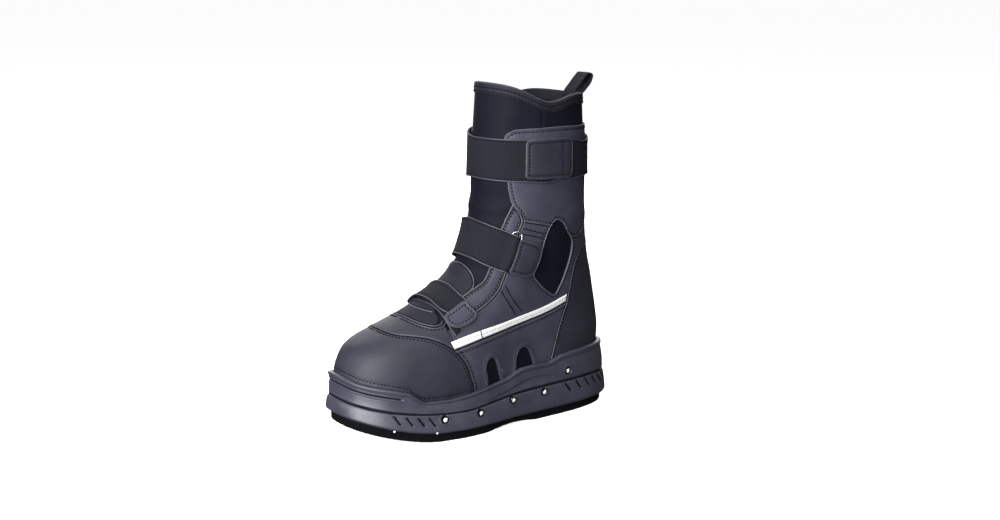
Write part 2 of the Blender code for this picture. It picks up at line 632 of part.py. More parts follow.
# Straps with their tabs, chapes and rings.
strap("top_strap", TOP_STRAP, STRAP_LIFT, "webbing")
strap("top_strap_base", TOP_STRAP_BASE, STRAP_LIFT, "webbing")
strap("top_strap_tab", TOP_TAB, TAB_LIFT, "coated")
strap("mid_strap", MID_STRAP, STRAP_LIFT, "webbing")
strap("mid_chape_outer", MID_CHAPE, STRAP_LIFT, "coated")
strap("mid_chape_inner", MID_CHAPE, STRAP_LIFT, "coated", mirrored=True)
strap("low_strap", LOW_STRAP, STRAP_LIFT, "webbing")
strap("low_strap_tab", LOW_TAB, TAB_LIFT, "coated")
strap("low_chape", LOW_CHAPE, STRAP_LIFT, "coated")
for row in RINGS:
    ring(*row)

# Pull loop over the back of the collar.
path = np.array(PULL_LOOP, float)
way = np.gradient(path, axis=0)
way /= np.linalg.norm(way, axis=1, keepdims=True)
side_way = np.stack([-way[:, 1], way[:, 0]], axis=1)
faces_of_loop = []
for half in (LOOP_THICKNESS / 2, -LOOP_THICKNESS / 2):
    grid = []
    for y in (-LOOP_HALF_WIDTH, 0, LOOP_HALF_WIDTH):
        line = path + side_way * half
        bend = y * y / (2 * LOOP_BEND_RADIUS)
        grid.append(np.stack([line[:, 0] + bend, np.full(len(line), y), line[:, 1]], axis=1))
    faces_of_loop.append(np.array(grid))
sheet_solid("pull_loop", faces_of_loop[0], faces_of_loop[1], "webbing")

# Steel studs in the felt.
for number, (x, y) in enumerate(STUDS):
    foot = (x, y, felt_under(x) + STUD_RECESS)
    prisms(f"stud_{number + 1:02d}", [(foot, (0, 0, 1), STUD_RADIUS, STUD_HEIGHT)], "steel")

# Steel rivets in pockets on the outer side of the sole.
for number, (x, z, holder) in enumerate(RIVETS):
    offset = edge_offset if holder == "carrier" else WALL_PROFILE[2][1]
    (edge_x, edge_y), (way_x, way_y) = outer_side(x, offset - RIVET_SET)
    way = (way_x, way_y, 0)
    inner = np.array((edge_x, edge_y, z)) - GAP * np.array(way)
    pocket = prisms(f"rivet_pocket_{number + 1}", [(inner, way, RIVET_POCKET, CUTTER_BELOW)], None)
    cut(carrier if holder == "carrier" else cup, pocket, "DIFFERENCE")
    prisms(f"rivet_{number + 1}", [((edge_x, edge_y, z), way, RIVET_RADIUS, RIVET_LENGTH)], "steel")
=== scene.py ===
import math

import bmesh
import bpy
import numpy as np
from mathutils import Matrix, Vector
from mathutils.geometry import delaunay_2d_cdt


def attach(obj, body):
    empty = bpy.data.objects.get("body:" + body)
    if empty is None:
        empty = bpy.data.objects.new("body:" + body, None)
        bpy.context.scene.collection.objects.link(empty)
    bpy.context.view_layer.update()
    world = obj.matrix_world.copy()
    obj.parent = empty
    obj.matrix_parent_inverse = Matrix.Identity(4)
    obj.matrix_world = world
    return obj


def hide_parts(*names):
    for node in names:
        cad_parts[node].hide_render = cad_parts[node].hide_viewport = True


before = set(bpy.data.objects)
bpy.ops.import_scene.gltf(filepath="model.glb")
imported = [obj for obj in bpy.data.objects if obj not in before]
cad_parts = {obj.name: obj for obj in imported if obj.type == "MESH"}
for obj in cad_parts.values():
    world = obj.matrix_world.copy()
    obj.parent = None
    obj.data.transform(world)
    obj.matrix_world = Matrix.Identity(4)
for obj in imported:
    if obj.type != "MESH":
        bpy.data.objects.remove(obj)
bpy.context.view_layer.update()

# Felt outsole: dense black needled felt, die cut to the outline of the sole and glued under the carrier.
# Grooves are milled across it, and each steel stud sits in a round pocket.
MM = 0.001
SOLE_SIZES = {
    "front_x": 150.0, "back_x": -150.0, "heel_half": 41.0, "ball_half": 54.0, "waist": 4.5,
    "front_power": 2.6, "back_power": 2.5}
TOE_SWING = 4.0
HEEL_TO_BALL = (-0.5, 0.35)
WAIST_AT = -0.08
WAIST_SPREAD = 0.3
WAIST_OUTER, WAIST_INNER = 0.6, 1.2
TOE_SPRING = 18.0
SPRING_START, SPRING_RUN, SPRING_POWER = 70.0, 85.0, 1.6
ARCH_RISE = 3.0
ARCH_AT, ARCH_HALF = -15.0, 32.0
FELT_OFFSET = 4.5
FELT_THICKNESS = 9.0
FELT_EDGE = 1.8
FELT_FUZZ = 0.22
GROOVES = (-62.5, -11, 23, 61, 96.5)
LONG_GROOVE = (23, 96.5, -1)
GROOVE_DEPTH = 3.0
GROOVE_SIDE = (1.0, 2.5)
GROOVE_RUN_OUT = (1.5, 5.0)
STUDS = (
    (-122.6, 24), (-106.8, 23), (-89.7, 21.5), (-137, 3), (-122.4, 1.3), (-106.8, 0), (-89, 0),
    (-136.4, -17.3), (-121, -22), (-105.5, -24), (-88.2, -26), (6.3, 36), (5.3, 19), (5.7, -18),
    (43.9, 39), (43.2, -9.6), (40.6, -33), (79.6, 34.4), (76.5, -21), (74.1, -40), (112.5, 15),
    (124.3, -7), (120.2, -26), (107, -30))
STUD_POCKET = 3.3
STUD_HEIGHT = 5.0
FELT_LAYERS, FELT_COLUMNS, CAP_COLUMNS = 15, 84, 6
TEXTURES = {"noise": "Noise", "cell": "Voronoi", "rib": "Wave"}
SOLE_TURNS = 720
sole_turn = np.arange(SOLE_TURNS) * 2 * math.pi / SOLE_TURNS


def smooth(low, high, value):
    part = np.clip((value - low) / (high - low), 0, 1)
    return part * part * (3 - 2 * part)


def bell(away, spread):
    return np.exp(-((away / spread) ** 2))


def along(table, x):
    return np.interp(x, [place for place, _ in table], [size for _, size in table])


def plan(sizes, turn, swing):
    """x, y and reach of a section's outline: reach runs from -1 at the heel to 1 at the toe."""
    cosine, sine = np.cos(turn), np.sin(turn)
    power = np.where(cosine > 0, sizes["front_power"], sizes["back_power"])
    reach = np.sign(cosine) * np.abs(cosine) ** (2 / power)
    half = sizes["heel_half"] + (sizes["ball_half"] - sizes["heel_half"]) * smooth(*HEEL_TO_BALL, reach)
    side = np.where(sine > 0, WAIST_OUTER, WAIST_INNER)
    half = half - sizes["waist"] * side * bell(reach - WAIST_AT, WAIST_SPREAD)
    x = (sizes["front_x"] + sizes["back_x"]) / 2 + (sizes["front_x"] - sizes["back_x"]) / 2 * reach
    y = half * np.sign(sine) * np.abs(sine) ** (2 / power) - swing * np.clip(reach, 0, 1) ** 2
    return x, y, reach


def sole_outline(turn, offset):
    """x and y of the sole's edge, offset outwards."""
    step = 1e-3
    x, y, _ = plan(SOLE_SIZES, turn, TOE_SWING)
    ahead = plan(SOLE_SIZES, turn + step, TOE_SWING)
    behind = plan(SOLE_SIZES, turn - step, TOE_SWING)
    way = np.stack([ahead[1] - behind[1], behind[0] - ahead[0]], axis=-1)
    way /= np.linalg.norm(way, axis=-1, keepdims=True)
    return x + way[..., 0] * offset, y + way[..., 1] * offset


def ground(x):
    return TOE_SPRING * (np.clip(x - SPRING_START, 0, None) / SPRING_RUN) ** SPRING_POWER


def felt_under(x):
    return ground(x) + ARCH_RISE * np.clip(1 - ((x - ARCH_AT) / ARCH_HALF) ** 2, 0, None)


def edge_gap(x, y):
    """Distance across the boot from a point to the felt's edge."""
    turn = np.linspace(0, math.pi, 400)
    outer, inner = sole_outline(turn, FELT_OFFSET), sole_outline(-turn, FELT_OFFSET)
    return np.minimum(np.interp(-x, -outer[0], outer[1]) - y, y - np.interp(-x, -inner[0], inner[1]))


def felt_floor(x, y):
    """Underside of the felt with its grooves, which die out short of the edge, and its pockets."""
    depth = np.zeros(np.shape(x))
    for place in GROOVES:
        depth = np.maximum(depth, 1 - smooth(*GROOVE_SIDE, np.abs(x - place)))
    inside = (x > LONG_GROOVE[0]) & (x < LONG_GROOVE[1])
    depth = np.maximum(depth, inside * (1 - smooth(*GROOVE_SIDE, np.abs(y - LONG_GROOVE[2]))))
    depth = GROOVE_DEPTH * depth * smooth(*GROOVE_RUN_OUT, edge_gap(x, y))
    for stud_x, stud_y in STUDS:
        away = np.hypot(x - stud_x, y - stud_y)
        depth = np.maximum(depth, STUD_HEIGHT * (1 - smooth(STUD_POCKET - 0.5, STUD_POCKET + 0.5, away)))
    return felt_under(x) + depth


def ring_faces(count, first, second):
    """Quads between two closed rings of points."""
    k = np.arange(count)
    ahead = (k + 1) % count
    return np.stack([first + k, first + ahead, second + ahead, second + k], axis=1).tolist()


def cap(ring, start, free, across):
    """Points and faces of a grid across the boot that closes a ring of points."""
    count = len(ring)
    half = count // 2
    part = (np.arange(across) + 1) / (across + 1)
    outer, inner = ring[1:half], ring[:half:-1]
    points = inner[:, None] + (outer - inner)[:, None] * part[None, :, None]
    rows = []
    for k in range(1, half):
        middle = free + (k - 1) * across + np.arange(across)
        rows.append([start + count - k, *middle.tolist(), start + k])
    faces = []
    for low, high in zip(rows[:-1], rows[1:]):
        faces += [(low[j], low[j + 1], high[j + 1], high[j]) for j in range(across + 1)]
    faces += [(start, rows[0][j + 1], rows[0][j]) for j in range(across + 1)]
    faces += [(start + half, rows[-1][j], rows[-1][j + 1]) for j in range(across + 1)]
    return points.reshape(-1, 3), faces


def capped(rings, across_low, across_high):
    """A stack of rings closed by a grid at both ends: points, faces and the slice of the lower grid."""
    count = len(rings[0])
    total = count * len(rings)
    faces = []
    for k in range(len(rings) - 1):
        faces += ring_faces(count, k * count, (k + 1) * count)
    low_points, low_faces = cap(rings[0], 0, total, across_low)
    high_points, high_faces = cap(rings[-1], total - count, total + len(low_points), across_high)
    points = np.concatenate([*rings, low_points, high_points])
    return points, faces + low_faces + high_faces, slice(total, total + len(low_points))


def settle(made, replaced):
    """Puts a finished piece on the boot's root and hides the CAD nodes that it stands for."""
    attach(made, "root")
    if replaced:
        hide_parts(*replaced)


def add_piece(name, points, faces, materials, replaced=(), face_material=None, uv=None):
    """A finished piece in the boot's frame, from points in mm and faces."""
    mesh = bpy.data.meshes.new(name)
    mesh.from_pydata((np.asarray(points) * MM).tolist(), [], faces)
    if face_material is not None:
        mesh.polygons.foreach_set("material_index", np.asarray(face_material, np.int32))
    shape = bmesh.new()
    shape.from_mesh(mesh)
    bmesh.ops.recalc_face_normals(shape, faces=shape.faces[:])
    shape.to_mesh(mesh)
    shape.free()
    mesh.shade_smooth()
    mesh.set_sharp_from_angle(angle=math.radians(50))
    if uv is not None:
        corners = np.empty(len(mesh.loops), np.int32)
        mesh.loops.foreach_get("vertex_index", corners)
        mesh.uv_layers.new(name="weave").uv.foreach_set("vector", uv[corners].astype(np.float32).ravel())
    for used in materials:
        mesh.materials.append(used)
    made = bpy.data.objects.new(name, mesh)
    bpy.context.scene.collection.objects.link(made)
    settle(made, replaced)


def fill(node, values):
    """A node with some of its inputs set."""
    for socket, value in values.items():
        node.inputs[socket].default_value = value
    return node


def surface(name, dark, light, mottle, roughness, grains, sockets=None):
    """A mottled material with bumps, each given as its kind, features per metre and depth in mm."""
    made = bpy.data.materials.new(name)
    made.use_nodes = True
    nodes, links = made.node_tree.nodes, made.node_tree.links
    shader = fill(nodes["Principled BSDF"], sockets or {})
    place = nodes.new("ShaderNodeTexCoord")
    cloud = fill(nodes.new("ShaderNodeTexNoise"), {"Scale": mottle, "Detail": 5.0, "Roughness": 0.6})
    links.new(place.outputs["Object"], cloud.inputs["Vector"])
    tint = nodes.new("ShaderNodeValToRGB")
    for stop, position, colour in zip(tint.color_ramp.elements, (0.3, 0.7), (dark, light)):
        stop.position = position
        stop.color = (*colour, 1)
    links.new(cloud.outputs["Fac"], tint.inputs["Fac"])
    links.new(tint.outputs["Color"], shader.inputs["Base Color"])
    gloss = fill(nodes.new("ShaderNodeMapRange"), {
        "From Min": 0.3, "From Max": 0.7, "To Min": roughness[0], "To Max": roughness[1]})
    links.new(cloud.outputs["Fac"], gloss.inputs["Value"])
    links.new(gloss.outputs["Result"], shader.inputs["Roughness"])
    normal = None
    for kind, scale, depth in grains:
        texture = fill(nodes.new(f"ShaderNodeTex{TEXTURES[kind]}"), {"Scale": scale})
        links.new(place.outputs["UV" if kind == "rib" else "Object"], texture.inputs["Vector"])
        bump = fill(nodes.new("ShaderNodeBump"), {"Strength": 0.7, "Distance": depth * MM})
        links.new(texture.outputs["Distance" if kind == "cell" else "Fac"], bump.inputs["Height"])
        if normal is not None:
            links.new(normal.outputs["Normal"], bump.inputs["Normal"])
        normal = bump
    links.new(normal.outputs["Normal"], shader.inputs["Normal"])
    return made


felt_look = surface(
    "needled_felt", (0.0012, 0.0012, 0.0016), (0.0035, 0.0035, 0.0045), 420, (0.92, 1.0),
    (("noise", 900, 0.5), ("noise", 2600, 0.25)), {"Specular IOR Level": 0.08})
fuzz = np.random.default_rng(11)
felt_rings = []
for part in np.linspace(0, 1, FELT_LAYERS):
    rise = part * FELT_THICKNESS
    tuck = FELT_EDGE - math.sqrt(FELT_EDGE ** 2 - max(0.0, FELT_EDGE - rise) ** 2)
    x, y = sole_outline(sole_turn, FELT_OFFSET - tuck + FELT_FUZZ * fuzz.standard_normal(SOLE_TURNS))
    low = felt_floor(x, y)
    felt_rings.append(np.stack([x, y, low + (ground(x) + FELT_THICKNESS - low) * part], axis=-1))
points, faces, under = capped(felt_rings, FELT_COLUMNS, CAP_COLUMNS)
points[under, 2] = felt_floor(points[under, 0], points[under, 1])
add_piece("felt_outsole_felt", points, faces, [felt_look], ["felt_outsole"])

# Sole carrier: a foamed rubber slab moulded with a flared edge, glued between the felt and the cup sole.
# Slanted slits by the toe, upright ribs round the heel and the rivets' pockets are moulded into its edge.
CARRIER_TOP = (
    (-165, 33.5), (-143, 34), (-120, 35.1), (-94, 35.2), (-55, 34.7), (-29, 34), (-4.4, 32.7), (20, 30.3),
    (44, 28), (70, 28.5), (83, 29.5), (102, 31.4), (121, 34.2), (138, 38), (152, 42), (160, 46))
CARRIER_PROFILE = (
    (0.0, 5.0), (0.03, 7.6), (0.07, 9.2), (0.12, 10.0), (0.18, 10.2), (0.3, 10.0), (0.46, 9.6), (0.64, 9.0),
    (0.8, 8.2), (0.9, 7.8), (0.95, 7.0), (1.0, 5.0))
CARRIER_EDGE = 9.6
GLUE_GAP = 0.1
SLITS = (117.4, 106, 94.6, 83.5)
SLIT_LEVEL, SLIT_SIDE, SLIT_END = 0.63, (0.5, 1.3), (3.6, 4.8)
RIB_TURNS = np.linspace(120, 240, 17)
RIB_LEVEL, RIB_SIDE, RIB_END = 0.74, (0.8, 1.7), (3.8, 5.0)
CUT_LEAN = 0.72
CUT_DEPTH = 2.0
CUT_REACH = 16.0
CUT_LINE_HALF, CUT_LINE_SINK = 4.0, 0.5
CARRIER_DEEP = 1.1
RIVETS = (
    # x, z and the piece that holds it
    (70.5, 23.6, "carrier"), (30, 24.2, "carrier"), (-13, 28.6, "carrier"), (-54.5, 29.3, "carrier"),
    (-88, 45.2, "wall"))
RIVET_EDGES = {"carrier": CARRIER_EDGE, "wall": 6.6}
RIVET_POCKET = 4.0
POCKET_DEPTH = 2.0
POCKET_REACH = 14.0
POCKET_RIM = 0.45


def turn_at(x, offset):
    """Turn on the outer side where the sole's edge passes x."""
    turn = np.linspace(0.02, math.pi - 0.02, 4000)
    return float(np.interp(-x, -sole_outline(turn, offset)[0], turn))


def edge_frame(turn, offset, z):
    """A point on the sole's edge, the way out of it and the way along it."""
    near = np.array([*sole_outline(turn, offset), z])
    out = np.array([*sole_outline(turn, offset + 1), z]) - near
    return near, out, np.array([-out[1], out[0], 0.0])


def pocket(points, frame_at):
    """Depth of a rivet's pocket with a raised rim round it."""
    centre, _, way = frame_at
    away = np.hypot((points - centre) @ way, points[..., 2] - centre[2])
    near = np.linalg.norm(points[..., :2] - centre[:2], axis=-1) < POCKET_REACH
    hole = POCKET_DEPTH * (1 - smooth(RIVET_POCKET - 0.5, RIVET_POCKET + 0.4, away))
    return near * (hole - POCKET_RIM * bell(away - RIVET_POCKET - 1.2, 0.7))


def carrier_points(sunk):
    rows = []
    for k, part in enumerate(carrier_parts):
        x, y = sole_outline(sole_turn, along(CARRIER_PROFILE, part) - sunk[k])
        low = ground(x) + FELT_THICKNESS + GLUE_GAP
        rows.append(np.stack([x, y, low + (along(CARRIER_TOP, x) - low) * part], axis=-1))
    return np.array(rows)


def deep_faces(sunk, least, points, faces):
    """1 for each face that lies deep in a slit, a groove or a pocket, which takes the painted shade, and 0
    for the others.
    """
    deep = np.zeros(len(points))
    deep[:sunk.size] = sunk.ravel() > least
    return [int(np.mean(deep[list(face)]) > 0.5) for face in faces]


rubber_look = surface(
    "moulded_rubber", (0.026, 0.026, 0.040), (0.037, 0.037, 0.054), 60, (0.36, 0.48),
    (("noise", 260, 0.10), ("noise", 1700, 0.05)),
    {"Specular IOR Level": 0.4, "Coat Weight": 0.08, "Coat Roughness": 0.3})
# Near-black rubber for the faces deep in slits, grooves and pockets: painted shade in the recesses.
recess_shade_look = surface(
    "rubber_painted_shade", (0.002, 0.002, 0.003), (0.004, 0.004, 0.006), 60, (0.7, 0.85), (("noise", 1700, 0.05),),
    {"Specular IOR Level": 0.1})
carrier_parts = np.concatenate([
    np.linspace(0, 0.16, 10)[:-1], np.linspace(0.16, 0.86, 30), np.linspace(0.86, 1, 9)[1:]])
plain = carrier_points(np.zeros((len(carrier_parts), 1)))
sunk = np.zeros(plain.shape[:2])
cuts = [(side * turn_at(x, CARRIER_EDGE), SLIT_LEVEL, SLIT_SIDE, SLIT_END) for x in SLITS for side in (1, -1)]
cuts += [(turn, RIB_LEVEL, RIB_SIDE, RIB_END) for turn in np.radians(RIB_TURNS)]
# Each slit and rib groove gets a line down its middle, drawn later as a painted shade line.
slit_lines = []
for turn, level, cut_side, cut_end in cuts:
    x, _ = sole_outline(turn, CARRIER_EDGE)
    low, top = ground(x) + FELT_THICKNESS, along(CARRIER_TOP, x)
    centre, out, way = edge_frame(turn, CARRIER_EDGE, low + level * (top - low))
    lean = CUT_LEAN if 0 < turn < math.pi else -CUT_LEAN
    rise = np.linspace(-CUT_LINE_HALF, CUT_LINE_HALF, 9)[:, None]
    sink = along(CARRIER_PROFILE, (centre[2] + rise - low) / (top - low)) - CARRIER_EDGE - CUT_LINE_SINK
    slit_lines.append(centre + sink * out + rise * np.array((0, 0, 1)) - lean * rise * way)
    offset = plain - centre
    shape = 1 - smooth(*cut_side, np.abs(offset @ way + lean * offset[..., 2]))
    shape = shape * (1 - smooth(*cut_end, np.abs(offset[..., 2])))
    sunk = np.maximum(sunk, CUT_DEPTH * shape * (np.linalg.norm(offset[..., :2], axis=-1) < CUT_REACH))
rivet_frames = []
for x, z, holder in RIVETS:
    for side in (1, -1):
        turn = side * turn_at(x, RIVET_EDGES[holder])
        rivet_frames.append((holder, edge_frame(turn, RIVET_EDGES[holder], z)))
for holder, frame_at in rivet_frames:
    if holder == "carrier":
        sunk = sunk + pocket(plain, frame_at)
points, faces, _ = capped(carrier_points(sunk), CAP_COLUMNS, CAP_COLUMNS)
# Faces deep in the slits, the rib grooves and the rivet pockets take the near-black rubber as painted shade.
add_piece("sole_carrier_rubber", points, faces, [rubber_look, recess_shade_look], ["sole_carrier"],
          face_material=deep_faces(sunk, CARRIER_DEEP, points, faces))

# Studs and rivets: bright steel studs screwed up into the felt, and domed rivets through the sole's edge.
# Both are turned parts, with two small screw ends showing low on the outer edge by the toe.
STUD_SIZES = {"Body Radius": 3.0, "Tip Radius": 1.5, "Body Height": 3.6, "Tip Height": 1.4}
STUD_SIDES = 20
STUD_SINK = 0.2
RIVET_RADIUS = 2.55
RIVET_FLATTEN = (1.0, 1.0, 0.6)
RIVET_SINK = 1.2
PINS = ((120.1, 17.1), (79.2, 11.6))
PIN_SIZE = 0.42
SOCKETS = {"Size": "NodeSocketVector", "Material": "NodeSocketMaterial"}


def new_tree(name, *labels):
    """A modifier's node tree and its end nodes, with inputs that are numbers unless SOCKETS names them."""
    tree = bpy.data.node_groups.new(name, "GeometryNodeTree")
    tree.interface.new_socket(name="Geometry", in_out="INPUT", socket_type="NodeSocketGeometry")
    for label in labels:
        kind = SOCKETS.get(label, "NodeSocketFloat")
        tree.interface.new_socket(name=label, in_out="INPUT", socket_type=kind)
    tree.interface.new_socket(name="Geometry", in_out="OUTPUT", socket_type="NodeSocketGeometry")
    return tree, tree.nodes.new("NodeGroupInput"), tree.nodes.new("NodeGroupOutput")


def chain(tree, kind, **joined):
    """A node with its sockets joined to other nodes' outputs."""
    node = tree.nodes.new(kind)
    for label, source in joined.items():
        tree.links.new(source, node.inputs[label.replace("_", " ")])
    return node


def end_tree(tree, start, end, geometry):
    """Realizes the copies, gives them their material and ends the tree."""
    solid = chain(tree, "GeometryNodeRealizeInstances", Geometry=geometry)
    even = chain(tree, "GeometryNodeSetShadeSmooth", Geometry=solid.outputs[0])
    dressed = chain(
        tree, "GeometryNodeSetMaterial", Geometry=even.outputs[0], Material=start.outputs["Material"])
    tree.links.new(dressed.outputs[0], end.inputs[0])


def grow(name, mesh, tree, values, replaced=()):
    """A piece that a node tree makes from a mesh of points or lines."""
    made = bpy.data.objects.new(name, mesh)
    bpy.context.scene.collection.objects.link(made)
    modifier = made.modifiers.new("grow", "NODES")
    modifier.node_group = tree
    for item in tree.interface.items_tree:
        if item.in_out == "INPUT" and item.name in values:
            modifier[item.identifier] = values[item.name]
    graph = bpy.context.evaluated_depsgraph_get()
    grown = bpy.data.meshes.new_from_object(made.evaluated_get(graph), depsgraph=graph)
    made.modifiers.remove(modifier)
    made.data = grown
    settle(made, replaced)


def point_mesh(name, places):
    mesh = bpy.data.meshes.new(name)
    mesh.from_pydata((np.asarray(places) * MM).tolist(), [], [])
    return mesh


# The steel is a near-white, barely metallic surface: its brightness is a painted reflection of polished
# steel.
steel_painted_shine_look = surface(
    "steel_painted_reflection", (0.88, 0.88, 0.88), (0.95, 0.95, 0.95), 700, (0.30, 0.45),
    (("noise", 1400, 0.03),), {"Metallic": 0.2})
stud_tree, start, end = new_tree("stud", *STUD_SIZES, "Material")
tip = chain(stud_tree, "GeometryNodeMeshCone", Radius_Bottom=start.outputs["Tip Radius"],
            Radius_Top=start.outputs["Body Radius"], Depth=start.outputs["Tip Height"])
body = chain(stud_tree, "GeometryNodeMeshCylinder", Radius=start.outputs["Body Radius"],
             Depth=start.outputs["Body Height"])
for turned_part in (tip, body):
    fill(turned_part, {"Vertices": STUD_SIDES})
lift = stud_tree.nodes.new("ShaderNodeCombineXYZ")
half_rise = stud_tree.nodes.new("ShaderNodeMath")
half_rise.operation = "MULTIPLY_ADD"
half_rise.inputs[1].default_value = 0.5
stud_tree.links.new(start.outputs["Body Height"], half_rise.inputs[0])
stud_tree.links.new(start.outputs["Tip Height"], half_rise.inputs[2])
stud_tree.links.new(half_rise.outputs[0], lift.inputs["Z"])
raised = chain(stud_tree, "GeometryNodeTransform", Geometry=body.outputs[0], Translation=lift.outputs[0])
whole = stud_tree.nodes.new("GeometryNodeJoinGeometry")
stud_tree.links.new(tip.outputs[0], whole.inputs[0])
stud_tree.links.new(raised.outputs[0], whole.inputs[0])
copies = chain(stud_tree, "GeometryNodeInstanceOnPoints", Points=start.outputs[0], Instance=whole.outputs[0])
end_tree(stud_tree, start, end, copies.outputs[0])
stud_values = {label: size * MM for label, size in STUD_SIZES.items()}
stud_values["Material"] = steel_painted_shine_look
stud_places = [(x, y, felt_under(x) + STUD_SINK) for x, y in STUDS]
stud_names = [f"stud_{k + 1:02d}" for k in range(len(STUDS))]
grow("steel_studs", point_mesh("studs", stud_places), stud_tree, stud_values, stud_names)

rivet_tree, start, end = new_tree("rivet", "Radius", "Material")
dome = chain(rivet_tree, "GeometryNodeMeshUVSphere", Radius=start.outputs["Radius"])
fill(dome, {"Segments": 24, "Rings": 12})
flat = fill(chain(rivet_tree, "GeometryNodeTransform", Geometry=dome.outputs[0]), {"Scale": RIVET_FLATTEN})
way = rivet_tree.nodes.new("GeometryNodeInputNamedAttribute")
way.data_type = "FLOAT_VECTOR"
fill(way, {"Name": "way"})
size = fill(rivet_tree.nodes.new("GeometryNodeInputNamedAttribute"), {"Name": "size"})
turned = chain(rivet_tree, "FunctionNodeAlignRotationToVector", Vector=way.outputs["Attribute"])
turned.axis = "Z"
copies = chain(rivet_tree, "GeometryNodeInstanceOnPoints", Points=start.outputs[0], Instance=flat.outputs[0],
               Rotation=turned.outputs[0], Scale=size.outputs["Attribute"])
end_tree(rivet_tree, start, end, copies.outputs[0])
rivet_places = [centre - RIVET_SINK * out for _, (centre, out, _) in rivet_frames]
rivet_ways = [out for _, (_, out, _) in rivet_frames]
for x, z in PINS:
    centre, out, _ = edge_frame(turn_at(x, CARRIER_EDGE), CARRIER_EDGE, z)
    rivet_places.append(centre)
    rivet_ways.append(out)
rivet_sizes = [1.0] * len(rivet_frames) + [PIN_SIZE] * len(PINS)
rivet_mesh = point_mesh("rivets", rivet_places)
ways, sizes = np.ravel(rivet_ways).astype(np.float32), np.asarray(rivet_sizes, np.float32)
rivet_mesh.attributes.new("way", "FLOAT_VECTOR", "POINT").data.foreach_set("vector", ways)
rivet_mesh.attributes.new("size", "FLOAT", "POINT").data.foreach_set("value", sizes)
grow("steel_rivets", rivet_mesh, rivet_tree, {"Radius": RIVET_RADIUS * MM, "Material": steel_painted_shine_look},
     [f"rivet_{k + 1}" for k in range(len(RIVETS))])

# Cup sole: the moulded rubber shell that the upper is cemented into, with a raised lip along its top edge.
# A groove runs round the toe bumper, and the wall steps down at the ball and rises again at the heel.
WALL_TOP = (
    (-165, 65.5), (-120, 65.3), (-100, 64.3), (-84, 63.3), (-74, 60), (-67, 57.5), (-46, 58.7), (-30, 58.2),
    (-22, 55.7), (-16, 53.1), (-9, 50.9), (19, 47), (37, 44), (60, 41.4), (88, 41.4), (92, 43.6), (99, 48.8),
    (103, 52.3), (106, 53.3), (120, 56.7), (137, 60), (147, 62.9), (154, 66.6), (160, 70))
WALL_LEDGE = ((-72, 44), (-65, 44.7), (-52, 45.8), (-37, 46), (-22, 42.9), (-8.5, 39), (16, 34.6), (24, 33))
WALL_PROFILE = (
    (0.0, 4.6), (0.04, 6.0), (0.09, 6.9), (0.2, 6.7), (0.44, 6.5), (0.58, 6.2), (0.74, 5.8), (0.8, 5.8),
    (0.86, 6.3), (0.93, 6.5), (0.97, 6.2), (0.99, 5.7), (1.0, 5.0))
WALL_OFFSET = 5.0
TOE_GROOVE, BUMPER_RIDGE, LIP_DIP, LIP_LEVEL = 0.645, 0.575, 0.8, 0.965
GROOVE_SPREAD, LIP_SPREAD = 0.03, 0.05
TOE_GROOVE_DEPTH, BUMPER_RISE, LIP_DIP_DEPTH, LEDGE_DEPTH = 1.9, 0.45, 0.35, 0.9
TOE_START = (109, 113)
LEDGE_START, LEDGE_END = (-72, -60), (12, 24)
LEDGE_STEP, LEDGE_FADE = (-0.8, 0.8), (1.5, 9)
SEAT_LEVELS = (0.99, 0.9, 0.7, 0.5, 0.3, 0.1)
SEAT_SINK = 0.6
WALL_DEEP = 0.95
LIP_LINE_SINK, GROOVE_LINE_SINK = 0.25, 1.25
GAP_OFFSET = 6.4
FOOTBED = ((-150, 45), (-50, 43), (20, 37.5), (67, 36.5), (100, 40), (126, 44.5), (146, 50))
LAST_COLUMNS = (
    "front_x", "front_z", "back_x", "back_z", "heel_half", "ball_half", "waist", "front_power", "back_power")
LAST_ROWS = np.array((
    (146, 50, -143, 45, 37, 51, 5.0, 2.6, 2.4),
    (150, 59, -147, 62, 40, 54, 4.5, 2.6, 2.4),
    (148, 75, -149, 81, 40, 53.5, 3.5, 2.5, 2.3),
    (138, 91, -147, 100, 39, 50.5, 3.0, 2.4, 2.2),
    (111, 102.5, -143, 120, 38, 46, 2.5, 2.3, 2.2),
    (80, 114.5, -138.5, 140, 38, 43, 1.5, 2.2, 2.2),
    (49, 131.5, -133, 160, 38.5, 41, 0.5, 2.2, 2.2),
    (22, 154.5, -128.5, 181, 40, 41.5, 0, 2.2, 2.2),
    (8, 182, -125.8, 203, 42, 42, 0, 2.2, 2.2),
    (1, 209, -124.3, 227, 43, 43, 0, 2.2, 2.2),
    (-2.5, 245, -123.5, 256, 43.5, 43.5, 0, 2.2, 2.2),
    (-4, 285, -122.5, 286, 43.5, 43.5, 0, 2.2, 2.2),
    (-7.5, 339.5, -120, 325, 43, 43, 0, 2.2, 2.2)))
SWING_FADE = (0.3, 0.6)
FOOTBED_FADE = (0, 0.25)
COLLAR_DIP = 12.0
DIP_AT, DIP_SPREAD, DIP_FADE = 0.12, 0.46, (0.84, 1.0)
CUP_LIFT = 3.0
